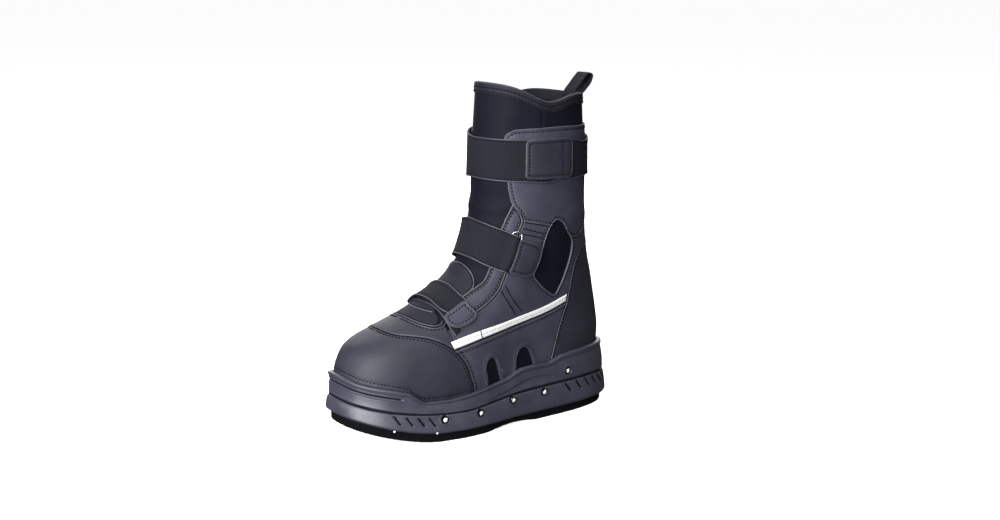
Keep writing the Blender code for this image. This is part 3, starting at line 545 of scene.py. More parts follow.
CREASES = (
    # turn in degrees, z, half turn, half z, slope in mm a degree, rise
    (4, 229, 62, 6.0, -0.04, -1.0), (-2, 217, 55, 5.0, 0.03, 0.7), (8, 209, 50, 4.5, 0.0, -0.8),
    (0, 150, 38, 5.0, 0.0, -0.9), (-4, 158, 34, 4.0, 0.0, 0.5),
    (62, 306, 9, 30, 0.0, -0.7), (38, 300, 10, 34, 0.0, 0.5), (-58, 304, 10, 28, 0.0, -0.7),
    (122, 220, 24, 8, 0.25, -0.8), (-124, 222, 24, 8, -0.25, -0.8), (140, 208, 20, 5, 0.2, 0.5),
    (176, 214, 30, 6, 0.0, -0.7), (100, 305, 12, 26, 0.0, 0.4), (79, 307, 1.5, 12, 0.0, -0.5))


def hermite(first, second, slope_first, slope_second, part):
    """A smooth step from one row of values to the next, with their slopes."""
    return (
        first * (1 + 2 * part) * (1 - part) ** 2 + slope_first * part * (1 - part) ** 2
        + second * part ** 2 * (3 - 2 * part) + slope_second * part ** 2 * (part - 1))


def section(height):
    """Sizes of the last at a height from 0, the feather edge, to 1, the collar."""
    last = len(LAST_ROWS) - 1
    place = np.clip(height, 0, 1) * last
    low = np.minimum(place.astype(int), last - 1)
    part = (place - low)[..., None]
    first, second = LAST_ROWS[low], LAST_ROWS[low + 1]
    slope_first = (second - LAST_ROWS[np.maximum(low - 1, 0)]) / 2
    slope_second = (LAST_ROWS[np.minimum(low + 2, last)] - first) / 2
    sizes = hermite(first, second, slope_first, slope_second, part)
    return dict(zip(LAST_COLUMNS, np.moveaxis(sizes, -1, 0)))


def rise_at(sizes, x, reach, height):
    """z of the last, with the footbed's curve low down and the dip of the collar's sides at the top."""
    z = (sizes["front_z"] + sizes["back_z"]) / 2 + (sizes["front_z"] - sizes["back_z"]) / 2 * reach
    level = (LAST_ROWS[0, 1] + LAST_ROWS[0, 3]) / 2 + (LAST_ROWS[0, 1] - LAST_ROWS[0, 3]) / 2 * reach
    z = z + (along(FOOTBED, x) - level) * (1 - smooth(*FOOTBED_FADE, height))
    return z - COLLAR_DIP * bell(reach - DIP_AT, DIP_SPREAD) * smooth(*DIP_FADE, height)


def last_point(turn, height):
    sizes = section(height)
    x, y, reach = plan(sizes, turn, TOE_SWING * (1 - smooth(*SWING_FADE, height)))
    return np.stack([x, y, rise_at(sizes, x, reach, height)], axis=-1)


def crease_rise(turn, z):
    degrees = (np.degrees(turn) + 180) % 360 - 180
    total = np.zeros(np.shape(z))
    for at, level, half_turn, half_z, slope, rise in CREASES:
        away = (degrees - at + 180) % 360 - 180
        total = total + rise * bell(away, half_turn) * bell(z - level - slope * away, half_z)
    return total


def last_ways(turn, height):
    """Ways round, up and out of the last, the first two for a whole turn and a whole height."""
    step = 1e-3
    above, below = np.minimum(height + step, 1), np.maximum(height - step, 0)
    round_way = (last_point(turn + step, height) - last_point(turn - step, height)) / (2 * step)
    up_way = (last_point(turn, above) - last_point(turn, below)) / (above - below)[..., None]
    out = np.cross(round_way, up_way)
    return round_way, up_way, out / np.linalg.norm(out, axis=-1, keepdims=True)


def skin(turn, height, lift):
    """Points lifted off the creased last along its own normal."""
    turn, height = np.broadcast_arrays(np.asarray(turn, float), np.asarray(height, float))
    point = last_point(turn, height)
    rise = np.asarray(lift) + crease_rise(turn, point[..., 2])
    return point + last_ways(turn, height)[2] * rise[..., None]


def height_at(turn, z, lift):
    """Height on the last where the lifted surface reaches z."""
    turn, z = np.broadcast_arrays(np.asarray(turn, float), np.asarray(z, float))
    low, high = np.zeros(turn.shape), np.ones(turn.shape)
    for _ in range(26):
        middle = (low + high) / 2
        under = skin(turn, middle, lift)[..., 2] < z
        low = np.where(under, middle, low)
        high = np.where(under, high, middle)
    return (low + high) / 2


wall_x, _ = sole_outline(sole_turn, WALL_OFFSET)
wall_height = along(WALL_TOP, wall_x)
seat_height = height_at(sole_turn, wall_height, CUP_LIFT)
wall_parts = np.concatenate([
    np.linspace(0, 0.1, 8)[:-1], np.linspace(0.1, 0.8, 34), np.linspace(0.8, 1, 15)[1:]])
toe_mask = smooth(*TOE_START, wall_x)
ledge_mask = smooth(*LEDGE_START, wall_x) * (1 - smooth(*LEDGE_END, wall_x))


def wall_ring(part, sunk):
    offset = along(WALL_PROFILE, part)
    x, y = sole_outline(sole_turn, offset - sunk)
    low = along(CARRIER_TOP, x) + GLUE_GAP
    flat = np.stack([x, y, low + (wall_height - low) * part], axis=-1)
    top = skin(sole_turn, seat_height, CUP_LIFT + offset - 2.0 - sunk)
    flat[:, :2] += (top[:, :2] - flat[:, :2]) * smooth(0.3, 1.0, part)
    return flat


cup_rings, wall_sunk = [], []
for part in wall_parts:
    sunk = TOE_GROOVE_DEPTH * toe_mask * bell(part - TOE_GROOVE, GROOVE_SPREAD)
    sunk = sunk - BUMPER_RISE * toe_mask * bell(part - BUMPER_RIDGE, GROOVE_SPREAD)
    sunk = sunk + LIP_DIP_DEPTH * (1 - toe_mask) * bell(part - LIP_DIP, LIP_SPREAD)
    flat = wall_ring(part, sunk)
    under_ledge = along(WALL_LEDGE, flat[:, 0]) - flat[:, 2]
    ledge = smooth(*LEDGE_STEP, under_ledge) * (1 - smooth(*LEDGE_FADE, under_ledge))
    sunk = sunk + LEDGE_DEPTH * ledge_mask * ledge
    for holder, frame_at in rivet_frames:
        if holder == "wall":
            sunk = sunk + pocket(flat, frame_at)
    cup_rings.append(wall_ring(part, sunk))
    wall_sunk.append(sunk)
for part in SEAT_LEVELS:
    cup_rings.append(skin(sole_turn, seat_height * part, CUP_LIFT))
floor_ring = skin(sole_turn, 0 * sole_turn, CUP_LIFT)
floor_ring[:, 2] = along(FOOTBED, floor_ring[:, 0]) - SEAT_SINK
cup_rings.append(floor_ring)
points, faces, _ = capped(cup_rings, CAP_COLUMNS, CAP_COLUMNS)
# Faces deep in the toe groove and the rivet's pocket take the near-black rubber as painted shade.
add_piece("cup_sole_rubber", points, faces, [rubber_look, recess_shade_look], ["cup_sole"],
          face_material=deep_faces(np.array(wall_sunk), WALL_DEEP, points, faces))
# A pale line along the cup sole's rounded lip: a painted highlight.
lip_highlight_line = wall_ring(LIP_LEVEL, LIP_LINE_SINK)
# Lines in the gap above the carrier and along the toe groove, drawn later as painted shade lines.
gap_x, gap_y = sole_outline(sole_turn, GAP_OFFSET)
gap_line = np.stack([gap_x, gap_y, along(CARRIER_TOP, gap_x) + 0.05], axis=-1)
toe_turns = np.flatnonzero(np.roll(toe_mask, SOLE_TURNS // 2) > 0.5)
groove_line = np.roll(wall_ring(TOE_GROOVE, GROOVE_LINE_SINK), SOLE_TURNS // 2, axis=0)[toe_turns]

# Insole: a loose bed of foam faced with knitted cloth.
# It is cut to the last, with its top edge rounded off, and laid in the cup sole.
INSOLE_TURNS, INSOLE_COLUMNS = 200, 24
INSOLE_LIFT = -3.4
INSOLE_SIDE, INSOLE_SHOULDER, INSOLE_TOP = 3.6, 4.7, 5.0
INSOLE_TAPER = (0.99, 0.97, 1)
foam_look = surface(
    "cloth_faced_foam", (0.016, 0.016, 0.019), (0.030, 0.030, 0.034), 150, (0.85, 0.95),
    (("noise", 900, 0.2), ("cell", 1300, 0.12)), {"Sheen Weight": 0.2})
insole_turn = np.arange(INSOLE_TURNS) * 2 * math.pi / INSOLE_TURNS
insole_low = skin(insole_turn, 0.004, INSOLE_LIFT)
insole_low[:, 2] = along(FOOTBED, insole_low[:, 0]) + GLUE_GAP
shrunk = insole_low * INSOLE_TAPER
insole_rings = [
    insole_low, insole_low + (0, 0, INSOLE_SIDE), shrunk + (0, 0, INSOLE_SHOULDER),
    shrunk * INSOLE_TAPER + (0, 0, INSOLE_TOP)]
points, faces, _ = capped(insole_rings, CAP_COLUMNS, INSOLE_COLUMNS)
add_piece("insole_bed", points, faces, [foam_look], ["insole"])

# Upper: one sock of knit-faced neoprene, sewn up the back and lasted down into the cup sole.
# Its inside is a plain jersey lining, and soft creases lie across the ankle and down the shaft.
UPPER_WALL = 2.8
UPPER_TURNS = 280
OUTER_ROWS, INNER_ROWS = 150, 60


def closed_tube(rings):
    """Points and faces of a tube of closed rings, the last of which joins the first."""
    count = len(rings[0])
    faces = []
    for k in range(len(rings)):
        faces += ring_faces(count, k * count, (k + 1) % len(rings) * count)
    return np.concatenate(rings), faces


neoprene_look = surface(
    "knit_faced_neoprene", (0.0022, 0.0022, 0.0064), (0.0036, 0.0036, 0.0092), 34, (0.66, 0.82),
    (("noise", 130, 0.12), ("cell", 1500, 0.10)), {"Specular IOR Level": 0.12})
lining_look = surface(
    "jersey_lining", (0.002, 0.002, 0.003), (0.004, 0.004, 0.006), 90, (0.85, 0.95),
    (("noise", 300, 0.15), ("cell", 1200, 0.15)), {"Specular IOR Level": 0.1})
upper_turn = np.arange(UPPER_TURNS) * 2 * math.pi / UPPER_TURNS
outer_rows = [skin(upper_turn, height, 0.0) for height in np.linspace(0, 1, OUTER_ROWS)]
inner_rows = [skin(upper_turn, height, -UPPER_WALL) for height in np.linspace(1, 0, INNER_ROWS)]
upper_rows = outer_rows + inner_rows
points, faces = closed_tube(upper_rows)
inside = [int(k >= len(outer_rows)) for k in range(len(upper_rows)) for _ in range(UPPER_TURNS)]
add_piece("upper_neoprene", points, faces, [neoprene_look, lining_look], ["upper"],
          face_material=inside)

# Collar binding: a folded strip of coated cloth that wraps the raw top edge of the sock.
# It is sewn through with two rows, and its rounded fold is coloured paler as a painted highlight.
COLLAR_TURNS = 360
COLLAR_BAND = 9.4
COLLAR_ROWS = (3.8, 7.8)
BINDING_LOW, BINDING_THICKNESS, BINDING_INSIDE = 0.15, 0.9, 0.95
ROW_DENT, ROW_DENT_SPREAD = 0.5, 0.7
FOLD_RISE = 1.6
FOLD_RINGS = range(25, 30)
stitch_rows = []
collar_turn = np.arange(COLLAR_TURNS) * 2 * math.pi / COLLAR_TURNS
collar_top = skin(collar_turn, 1.0, 0.0)[:, 2]


def collar_ring(drop, lift):
    return skin(collar_turn, height_at(collar_turn, collar_top - drop, 0.0), lift)


binding_look = surface(
    "binding_cloth", (0.0075, 0.0075, 0.0125), (0.0105, 0.0105, 0.0170), 60, (0.60, 0.74),
    (("cell", 620, 0.08), ("noise", 240, 0.08)), {"Specular IOR Level": 0.16})
# Paler copy of the binding cloth for the rounded fold: a painted highlight.
fold_highlight_look = surface(
    "binding_fold_highlight", (0.018, 0.018, 0.026), (0.026, 0.026, 0.036), 220, (0.55, 0.68), (("noise", 1600, 0.05),),
    {"Specular IOR Level": 0.2})
collar_rings = [collar_ring(COLLAR_BAND, BINDING_LOW)]
for drop in np.linspace(COLLAR_BAND, 0.4, 24):
    dent = sum(ROW_DENT * bell(drop - row, ROW_DENT_SPREAD) for row in COLLAR_ROWS)
    thick = BINDING_THICKNESS * smooth(0, 0.5, COLLAR_BAND + 0.2 - drop)
    collar_rings.append(collar_ring(drop, thick - dent + BINDING_LOW))
for angle in np.linspace(0, math.pi, 12):
    reach = UPPER_WALL / 2 + BINDING_THICKNESS + BINDING_LOW
    roll = skin(collar_turn, 1.0, -UPPER_WALL / 2 + reach * math.cos(angle))
    collar_rings.append(roll + np.array((0, 0, FOLD_RISE * math.sin(angle))))
for drop in np.linspace(1, COLLAR_BAND, 8):
    collar_rings.append(collar_ring(drop, -UPPER_WALL - BINDING_INSIDE))
collar_rings.append(collar_ring(COLLAR_BAND, -UPPER_WALL - 0.1))
points, faces = closed_tube(collar_rings)
# The rings of the rounded fold take the paler colour: a painted highlight.
rolled = [int(k in FOLD_RINGS) for k in range(len(collar_rings)) for _ in range(COLLAR_TURNS)]
add_piece("collar_binding", points, faces, [binding_look, fold_highlight_look], face_material=rolled)
for row in COLLAR_ROWS:
    line = collar_ring(row, 0.95)
    stitch_rows.append(np.concatenate([line, line[:1]]))

# Tongue patch: a coated patch moulded to the instep and sewn to the front of the sock, under the straps.
# One piped bar lies across it in the throat.
PANEL_LOW = 0.3
PANEL_TOP = 2.0
FLAT = np.array((80.0, 320.0))
SHEET_GRID, GRID_ROW_SHARE = 2.6, 0.87
INSETS = (0.4, 1.0, 1.9, 3.0, 4.4)
INSET_SHARE, GRID_CLEAR = 0.88, 1.2
PANEL_SINK = 0.2
EDGE_RADIUS = 1.1
SEAM_RISE, SEAM_SPREAD = -0.55, 0.85
RIDGE_RISE, RIDGE_SPREAD = 0.75, 1.0
TONGUE_EDGE = (
    (22, 176), (17, 161), (16.5, 150), (19, 143), (28, 135), (45, 127), (58.5, 119.6), (59.5, 115),
    (61.5, 112.2), (66.7, 110.6), (74.2, 111.6), (79.5, 114.2), (84, 119))
TONGUE_BAR = ((60.8, 119.6), (65.6, 120.3), (68.4, 121.1))
TONGUE_PIPED = 60
BAR_SHADOW = (0, 0.004)
edge_lines, soft_lines, shade_lines = [], [], []


def run_along(points):
    """Length of a line up to each of its points."""
    return np.concatenate([[0], np.cumsum(np.linalg.norm(np.diff(points, axis=0), axis=1))])


def spline(points, count, closed=False):
    """A smooth line through points."""
    points = np.asarray(points, float)
    if closed:
        points = np.concatenate([points[-3:], points, points[:3]])
    knots = run_along(points)
    slopes = np.gradient(points, knots, axis=0)
    first, last = (knots[3], knots[-3]) if closed else (0, knots[-1])
    places = np.linspace(first, last, count)
    low = np.clip(np.searchsorted(knots, places, side="right") - 1, 0, len(knots) - 2)
    span = (knots[low + 1] - knots[low])[:, None]
    part = (places - knots[low])[:, None] / span
    return hermite(points[low], points[low + 1], slopes[low] * span, slopes[low + 1] * span, part)


def on_last(points):
    """Turn and height of points given in side view as (x, z), held to the boot's outline."""
    points = np.asarray(points, float)
    low, high = np.zeros(len(points)), np.ones(len(points))
    for _ in range(40):
        middle = (low + high) / 2
        sizes = section(middle)
        half = (sizes["front_x"] - sizes["back_x"]) / 2
        reach = np.clip((points[:, 0] - sizes["front_x"] + half) / half, -1, 1)
        under = rise_at(sizes, sizes["front_x"] - half + half * reach, reach, middle) < points[:, 1]
        low = np.where(under, middle, low)
        high = np.where(under, high, middle)
    power = np.where(reach > 0, sizes["front_power"], sizes["back_power"])
    return np.stack([np.arccos(np.sign(reach) * np.abs(reach) ** (power / 2)), middle], axis=1)


def spots_of(path):
    return last_point(path[:, 0], path[:, 1])


def resampled(path, step):
    """The same line with even steps over the last."""
    run = run_along(spots_of(path))
    places = np.linspace(0, run[-1], max(2, round(run[-1] / step) + 1))
    return np.stack([np.interp(places, run, path[:, 0]), np.interp(places, run, path[:, 1])], axis=1)


def edge(points, closed=False):
    """A smooth line on the last through side-view points, cut where it meets the boot's middle line."""
    path = on_last(spline(points, 500, closed))
    inside = np.flatnonzero((path[:, 0] > 1e-6) & (path[:, 0] < math.pi - 1e-6))
    path = resampled(path[max(inside[0] - 1, 0):inside[-1] + 2], 1.0)
    return path[:-1] if closed else path


def mirrored(path, about=0.0):
    return np.stack([2 * about - path[:, 0], path[:, 1]], axis=1)


def both(path, about=0.0):
    """A line and its mirror image on the other side."""
    return path, mirrored(path, about)


def joined(*paths):
    """One loop from lines end to end."""
    line = np.concatenate(paths)
    far = np.linalg.norm((line - np.roll(line, 1, axis=0)) * FLAT, axis=1) > 0.05
    return line[far]


def beside(path, distance, closed=False):
    """A line moved sideways over the last, to the left of its run as seen from outside."""
    round_way, up_way, out = last_ways(path[:, 0], path[:, 1])
    spots = spots_of(path)
    way = np.roll(spots, -1, axis=0) - np.roll(spots, 1, axis=0) if closed else np.gradient(spots, axis=0)
    left = np.cross(out, way)
    left *= distance / np.linalg.norm(left, axis=1, keepdims=True)
    a, b, c = np.sum(round_way ** 2, 1), np.sum(round_way * up_way, 1), np.sum(up_way ** 2, 1)
    p, q = np.sum(left * round_way, 1), np.sum(left * up_way, 1)
    return path + np.stack([p * c - q * b, q * a - p * b], axis=1) / (a * c - b * b)[:, None]


def within(points, loop):
    """Which flat points lie inside a flat loop."""
    ahead = np.roll(loop, -1, axis=0)
    over = (loop[:, 1] > points[:, 1, None]) != (ahead[:, 1] > points[:, 1, None])
    rise = np.where(ahead[:, 1] == loop[:, 1], 1, ahead[:, 1] - loop[:, 1])
    cross = loop[:, 0] + (points[:, 1, None] - loop[:, 1]) / rise * (ahead[:, 0] - loop[:, 0])
    return np.sum(over & (points[:, 0, None] < cross), axis=1) % 2 == 1


def outside(points, windows):
    """Which flat points lie in none of some windows."""
    clear = np.ones(len(points), bool)
    for window in windows:
        clear &= ~within(points, window * FLAT)
    return clear


def gap_to(spots, starts, ends):
    """Distance from each spot to the nearest of some straight runs."""
    way = ends - starts
    length = np.maximum(np.sum(way * way, axis=1), 1e-9)
    found = []
    for first in range(0, len(spots), 1500):
        offset = spots[first:first + 1500, None] - starts
        part = np.clip(np.sum(offset * way, axis=2) / length, 0, 1)
        found.append(np.linalg.norm(offset - part[..., None] * way, axis=2).min(axis=1))
    return np.concatenate(found)


def edge_round(gap, radius, least=0.35):
    """Share of a sheet's thickness at a distance from its rounded edge."""
    part = 1 - np.clip(gap / radius, 0, 1)
    return least + (1 - least) * np.sqrt(1 - part ** 2)


def panel(name, loop, look, replaced=(), seams=(), ridges=(), windows=(), low=PANEL_LOW, top=PANEL_TOP):
    """A cut sheet laid on the last: rounded at its edges, sunk along seams and raised along ridges."""
    loops = [loop, *windows]
    starts, ends = [], []
    for k, line in enumerate(loops):
        ahead = np.roll(line, -1, axis=0)
        middle = (line + ahead) / 2 * FLAT
        kept = within(middle, loop * FLAT) if k else outside(middle, windows)
        starts.append(spots_of(line[kept]))
        ends.append(spots_of(ahead[kept]))
    starts, ends = np.concatenate(starts), np.concatenate(ends)
    corner_low, corner_high = (loop * FLAT).min(axis=0), (loop * FLAT).max(axis=0)
    columns = np.arange(corner_low[0], corner_high[0], SHEET_GRID)
    rows = np.arange(corner_low[1], corner_high[1], SHEET_GRID * GRID_ROW_SHARE)
    spread = [(x + SHEET_GRID / 2 * (k % 2), z) for k, z in enumerate(rows) for x in columns]
    layers = [(np.array(spread), INSETS[-1] + GRID_CLEAR)]
    for inset in INSETS:
        for line in loops:
            for side in (inset, -inset):
                layers.append((beside(line, side, True) * FLAT, INSET_SHARE * inset))
    free = []
    for points, least in layers:
        points = points[within(points, loop * FLAT) & outside(points, windows)]
        if len(points):
            free.append(points[gap_to(spots_of(points / FLAT), starts, ends) > least])
    flat = np.concatenate([*(line * FLAT for line in loops), *free])
    edges, first = [], 0
    for line in loops:
        k = np.arange(len(line))
        edges += np.stack([first + k, first + (k + 1) % len(line)], axis=1).tolist()
        first += len(line)
    made = delaunay_2d_cdt([Vector(point) for point in flat.tolist()], edges, [], 0, 1e-4)
    flat, triangles = np.array([tuple(point) for point in made[0]]), np.array(made[2])
    centre = flat[triangles].mean(axis=1)
    kept = within(centre, loop * FLAT) & outside(centre, windows)
    used, triangles = np.unique(triangles[kept], return_inverse=True)
    triangles = triangles.reshape(-1, 3)
    turn, height = (flat[used] / FLAT).T
    base = last_point(turn, height)
    lift = low + (top - low) * edge_round(gap_to(base, starts, ends), EDGE_RADIUS)
    for lines, rise, width in [(seams, SEAM_RISE, SEAM_SPREAD), (ridges, RIDGE_RISE, RIDGE_SPREAD)]:
        for line in lines:
            run = spots_of(line)
            lift = lift + rise * bell(gap_to(base, run[:-1], run[1:]), width)
    count = len(used)
    sides = np.concatenate([triangles[:, [0, 1]], triangles[:, [1, 2]], triangles[:, [2, 0]]])
    rim = sides[~np.isin(sides[:, 0] * count + sides[:, 1], sides[:, 1] * count + sides[:, 0])]
    faces = triangles.tolist() + (triangles[:, ::-1] + count).tolist()
    faces += [(b, a, a + count, b + count) for a, b in rim.tolist()]
    points = np.concatenate([skin(turn, height, lift), skin(turn, height, low - PANEL_SINK)])
    add_piece(name, points, faces, [look], replaced)


def stitch(path, lift=PANEL_TOP):
    stitch_rows.append(skin(path[:, 0], path[:, 1], lift))


# A pale tube along an edge: partly the pale edge of the cloth and partly a painted highlight.
def bead(path, lift=PANEL_TOP - 0.2, soft=False):
    (soft_lines if soft else edge_lines).append(skin(path[:, 0], path[:, 1], lift))


# A thin near-black tube where shade falls beside an edge or in a seam: painted shade.
def shade_line(path, lift=PANEL_TOP - 0.15):
    shade_lines.append(skin(path[:, 0], path[:, 1], lift))


# The patch is coloured darker than the other coated panels: painted shade under the straps.
tongue_shaded_look = surface(
    "tongue_cloth_painted_shade", (0.0070, 0.0070, 0.0115), (0.0105, 0.0105, 0.0165), 45, (0.60, 0.75),
    (("cell", 900, 0.10), ("noise", 240, 0.08)), {"Specular IOR Level": 0.15})
tongue_edge = edge(TONGUE_EDGE)
tongue_bar = edge(TONGUE_BAR)
tongue_loop = joined(tongue_edge, mirrored(tongue_edge)[::-1])
panel("tongue_patch_coated", tongue_loop, tongue_shaded_look, ["tongue_patch"])
# Each piped edge has a painted shade line beside it, and the bar has one under it.
for path in both(tongue_edge[:TONGUE_PIPED]):
    bead(path)
    shade_line(beside(path, 1.3 if path[0, 0] > 0 else -1.3))
bar_loop = np.concatenate([tongue_bar, mirrored(tongue_bar)[::-1]])
bead(bar_loop, PANEL_TOP + 0.2)
shade_line(bar_loop + BAR_SHADOW, PANEL_TOP)

# Vamp: the coated panel over the ball of the foot, cut from smooth microfibre that is coloured darker as
# painted shade.
# Its throat edge is folded under and stitched, with a second fold line behind the first.
TOE_SEAM = (
    (28, 20), (32, 43), (36.5, 58), (41.8, 71.9), (48.9, 83.1), (56.5, 90.5), (66.4, 96.4), (76.4, 100),
    (86.3, 101.6), (94.9, 102.3), (102.6, 102.9), (107.5, 104.3), (112, 112))
THROAT = ((57, 113), (60, 110.8), (66.7, 109.3), (74.2, 110.3), (80.6, 113.1), (85, 118))
QUARTER_FRONT = ((56.5, 90.5), (53.5, 95), (54, 100), (56, 105), (57, 113))
SEAM_JOIN = 90.5
THROAT_FOLDS = (0.0, 3.0)
WALL_LAP = 5.0


def above_wall(path):
    spots = spots_of(path)
    return path[spots[:, 2] > along(WALL_TOP, spots[:, 0]) - 4.0]


def foot(first, last):
    """A line along the upper just under the top edge of the cup sole."""
    turn = np.linspace(first, last, max(4, round(abs(last - first) * 80)))
    x, _ = sole_outline(turn, WALL_OFFSET)
    return np.stack([turn, np.maximum(height_at(turn, along(WALL_TOP, x) - WALL_LAP, 1.0), 0.01)], axis=1)


# Smooth microfibre: the coated cloth with a finer grain, coloured darker than the quarters as painted shade
# on the vamp, toe cap, heel counter and tabs.
shaded_microfibre_look = surface(
    "smooth_microfibre_painted_shade", (0.0145, 0.0145, 0.0225), (0.0200, 0.0200, 0.0305), 45, (0.48, 0.60),
    (("cell", 800, 0.06), ("noise", 240, 0.08), ("noise", 2200, 0.03)),
    {"Specular IOR Level": 0.22})
toe_seam = above_wall(edge(TOE_SEAM))
toe_high = toe_seam[spots_of(toe_seam)[:, 2] > SEAM_JOIN + 0.5]
toe_low = toe_seam[spots_of(toe_seam)[:, 2] < SEAM_JOIN - 0.5]
throat = edge(THROAT)
quarter_front = edge(QUARTER_FRONT)
vamp_loop = joined(
    quarter_front, throat, mirrored(throat)[::-1], mirrored(quarter_front)[::-1], mirrored(toe_high),
    toe_high[::-1])
throat_rows = [beside(throat, 1.5), beside(throat, 4.6)[1:-4]]
throat_rows += [mirrored(row) for row in throat_rows]
panel("vamp_coated", vamp_loop, shaded_microfibre_look, ["vamp"], seams=throat_rows)
for away in THROAT_FOLDS:
    for line in both(beside(throat, away)):
        bead(line, soft=True)
# A painted shade line lies in the groove beside each throat stitch row.
for fold_row, stitch_row in (throat_rows[:2], throat_rows[2:]):
    stitch(stitch_row)
    shade_line(fold_row, PANEL_TOP - 0.45)

# Toe cap: a moulded coated cap over a stiff toe puff, lapped over the vamp and stitched along its edge.
# One more row holds its foot just above the sole's lip.
CAP_FOOT_RISE = 3.2
cap_loop = joined(toe_seam, mirrored(toe_seam)[::-1], foot(-toe_seam[0, 0], toe_seam[0, 0]))
cap_rows = [beside(toe_seam, 1.6), beside(toe_seam, 4.4)[3:-3]]
cap_rows += [mirrored(row) for row in cap_rows]
cap_foot = foot(-toe_seam[0, 0] + 0.05, toe_seam[0, 0] - 0.05)
cap_foot_x, _ = sole_outline(cap_foot[:, 0], WALL_OFFSET)
cap_foot[:, 1] = height_at(cap_foot[:, 0], along(WALL_TOP, cap_foot_x) + CAP_FOOT_RISE, PANEL_TOP)
# The toe cap takes the darker microfibre: painted shade.
panel("toe_cap_coated", cap_loop, shaded_microfibre_look, ["toe_cap"], seams=cap_rows + [cap_foot])
bead(np.concatenate([toe_seam, mirrored(toe_seam)[::-1]]), soft=True)
for row in (cap_rows[1], cap_rows[3], cap_foot):
    stitch(row)
# Painted shade lines lie in the inner rows along the cap's edge.
for row in (cap_rows[0], cap_rows[2]):
    shade_line(row)

# Quarters: the coated side panels, with a window over the ankle and two open slots above the sole.
# Ridges are moulded under the cuff, and rows of stitches hold the stay and the stripe.
EYESTAY_REAR = (
    (-28, 213), (-30, 206), (-26, 195), (-20, 175), (-12, 156), (-8.3, 148.5), (-3.2, 139.5), (6.2, 130.5),
    (20, 122), (38, 114.5), (53, 108.6))
CUFF_LOW = (
    (-150, 222), (-124, 207), (-115, 197.5), (-108, 187.5), (-100, 183.4), (-92, 184.5), (-75, 195),
    (-56, 200.5), (-30, 206))
COUNTER_EDGE = (
    (-66, 20), (-69, 58), (-75.6, 80), (-84, 100), (-90.5, 114), (-96, 139), (-101, 156), (-109, 167.5),
    (-118, 172), (-150, 180))
ANKLE_WINDOW = (
    (-68, 204.5), (-74.7, 202.6), (-84.6, 191), (-94, 177.6), (-93.5, 168), (-88, 150), (-80, 134),
    (-73.6, 126), (-62.5, 131.2), (-49.7, 142), (-43.6, 149.6), (-46.8, 158.5), (-51, 170),
    (-57.6, 191), (-63.4, 201))
SIDE_SLOTS = (
    ((19.9, 67), (17.6, 73), (13.2, 75.6), (8.8, 74), (5.6, 69), (1, 56), (-5, 34), (12.5, 34), (17.4, 56)),
    ((-21.2, 70), (-24.4, 76), (-30, 78.6), (-35.8, 77), (-40, 71), (-44, 62), (-49, 44), (-22, 44),
     (-20.6, 60)))
STRIPE_LOW = ((-89, 117), (-66.6, 110.8), (-18.3, 102.5), (28, 95), (54.5, 89.4))
STRIPE_FOLDS = (1.3, 3.2)
QUARTER_RIDGES = (((-31, 199.6), (-53.5, 193)), ((-30.5, 194), (-51, 189)))
RIDGE_SHADOW = (0, 0.0042)
STAY_ROWS = (((-5.3, 138.5), (-10, 129), (-21, 113)), ((-10.7, 142), (-16, 131), (-29, 115)))
SIDES = (("outer", 1), ("inner", -1))
FRONT_TOP = 105


def sided(paths, way):
    """Lines as drawn for the outer side, or mirrored to the inner one."""
    return [path if way > 0 else mirrored(path) for path in paths]


coated_look = surface(
    "coated_microfibre", (0.025, 0.025, 0.039), (0.036, 0.036, 0.054), 45, (0.50, 0.62),
    (("cell", 620, 0.10), ("noise", 240, 0.10), ("noise", 2200, 0.03)),
    {"Specular IOR Level": 0.24})
eyestay_rear = edge(EYESTAY_REAR)
cuff_low = edge(CUFF_LOW)
counter_edge = above_wall(edge(COUNTER_EDGE))
ankle_window = edge(ANKLE_WINDOW, closed=True)
side_slots = [edge(slot, closed=True) for slot in SIDE_SLOTS]
stripe_low = edge(STRIPE_LOW)
quarter_loop = joined(
    toe_low, quarter_front[spots_of(quarter_front)[:, 2] < FRONT_TOP], eyestay_rear[:0:-1],
    cuff_low[::-1][1:], counter_edge[::-1], foot(counter_edge[0, 0], toe_low[0, 0]))
quarter_rows = [beside(ankle_window, 2.6, True), beside(stripe_low, 5.4)]
quarter_rows += [edge(row) for row in STAY_ROWS]
quarter_rows += [beside(quarter_front, -2.4)[2:-6], beside(toe_low, -2.2)[2:-2]]
quarter_ridges = [edge(row) for row in QUARTER_RIDGES] + [beside(slot, 2.0, True) for slot in side_slots]
for side, way in SIDES:
    outline, *windows = sided([quarter_loop, ankle_window, *side_slots], way)
    rows, ridges = sided(quarter_rows, way), sided(quarter_ridges, way)
    panel(f"quarter_{side}_coated", outline, coated_look, [f"quarter_{side}"], seams=rows,
          ridges=ridges, windows=windows)
    for row in rows[:2] + rows[4:]:
        stitch(row)
    # The two sunk rows under the stay carry painted shade lines.
    for row in rows[2:4]:
        shade_line(row)
    # Each ridge has a pale bead on top, a painted highlight, and a painted shade line under it.
    for row in ridges[:2]:
        bead(row, PANEL_TOP + 0.5, soft=True)
        shade_line(row - RIDGE_SHADOW, PANEL_TOP + 0.1)
    for k, path in enumerate(windows):
        bead(np.concatenate([path, path[:1]]), soft=k > 0)
    # A painted shade line lies under the stripe, and a pale bead on its fold.
    shadow, fold = sided([beside(stripe_low, away) for away in STRIPE_FOLDS], way)
    shade_line(shadow, PANEL_TOP - 0.2)
    bead(fold, PANEL_TOP - 0.2)

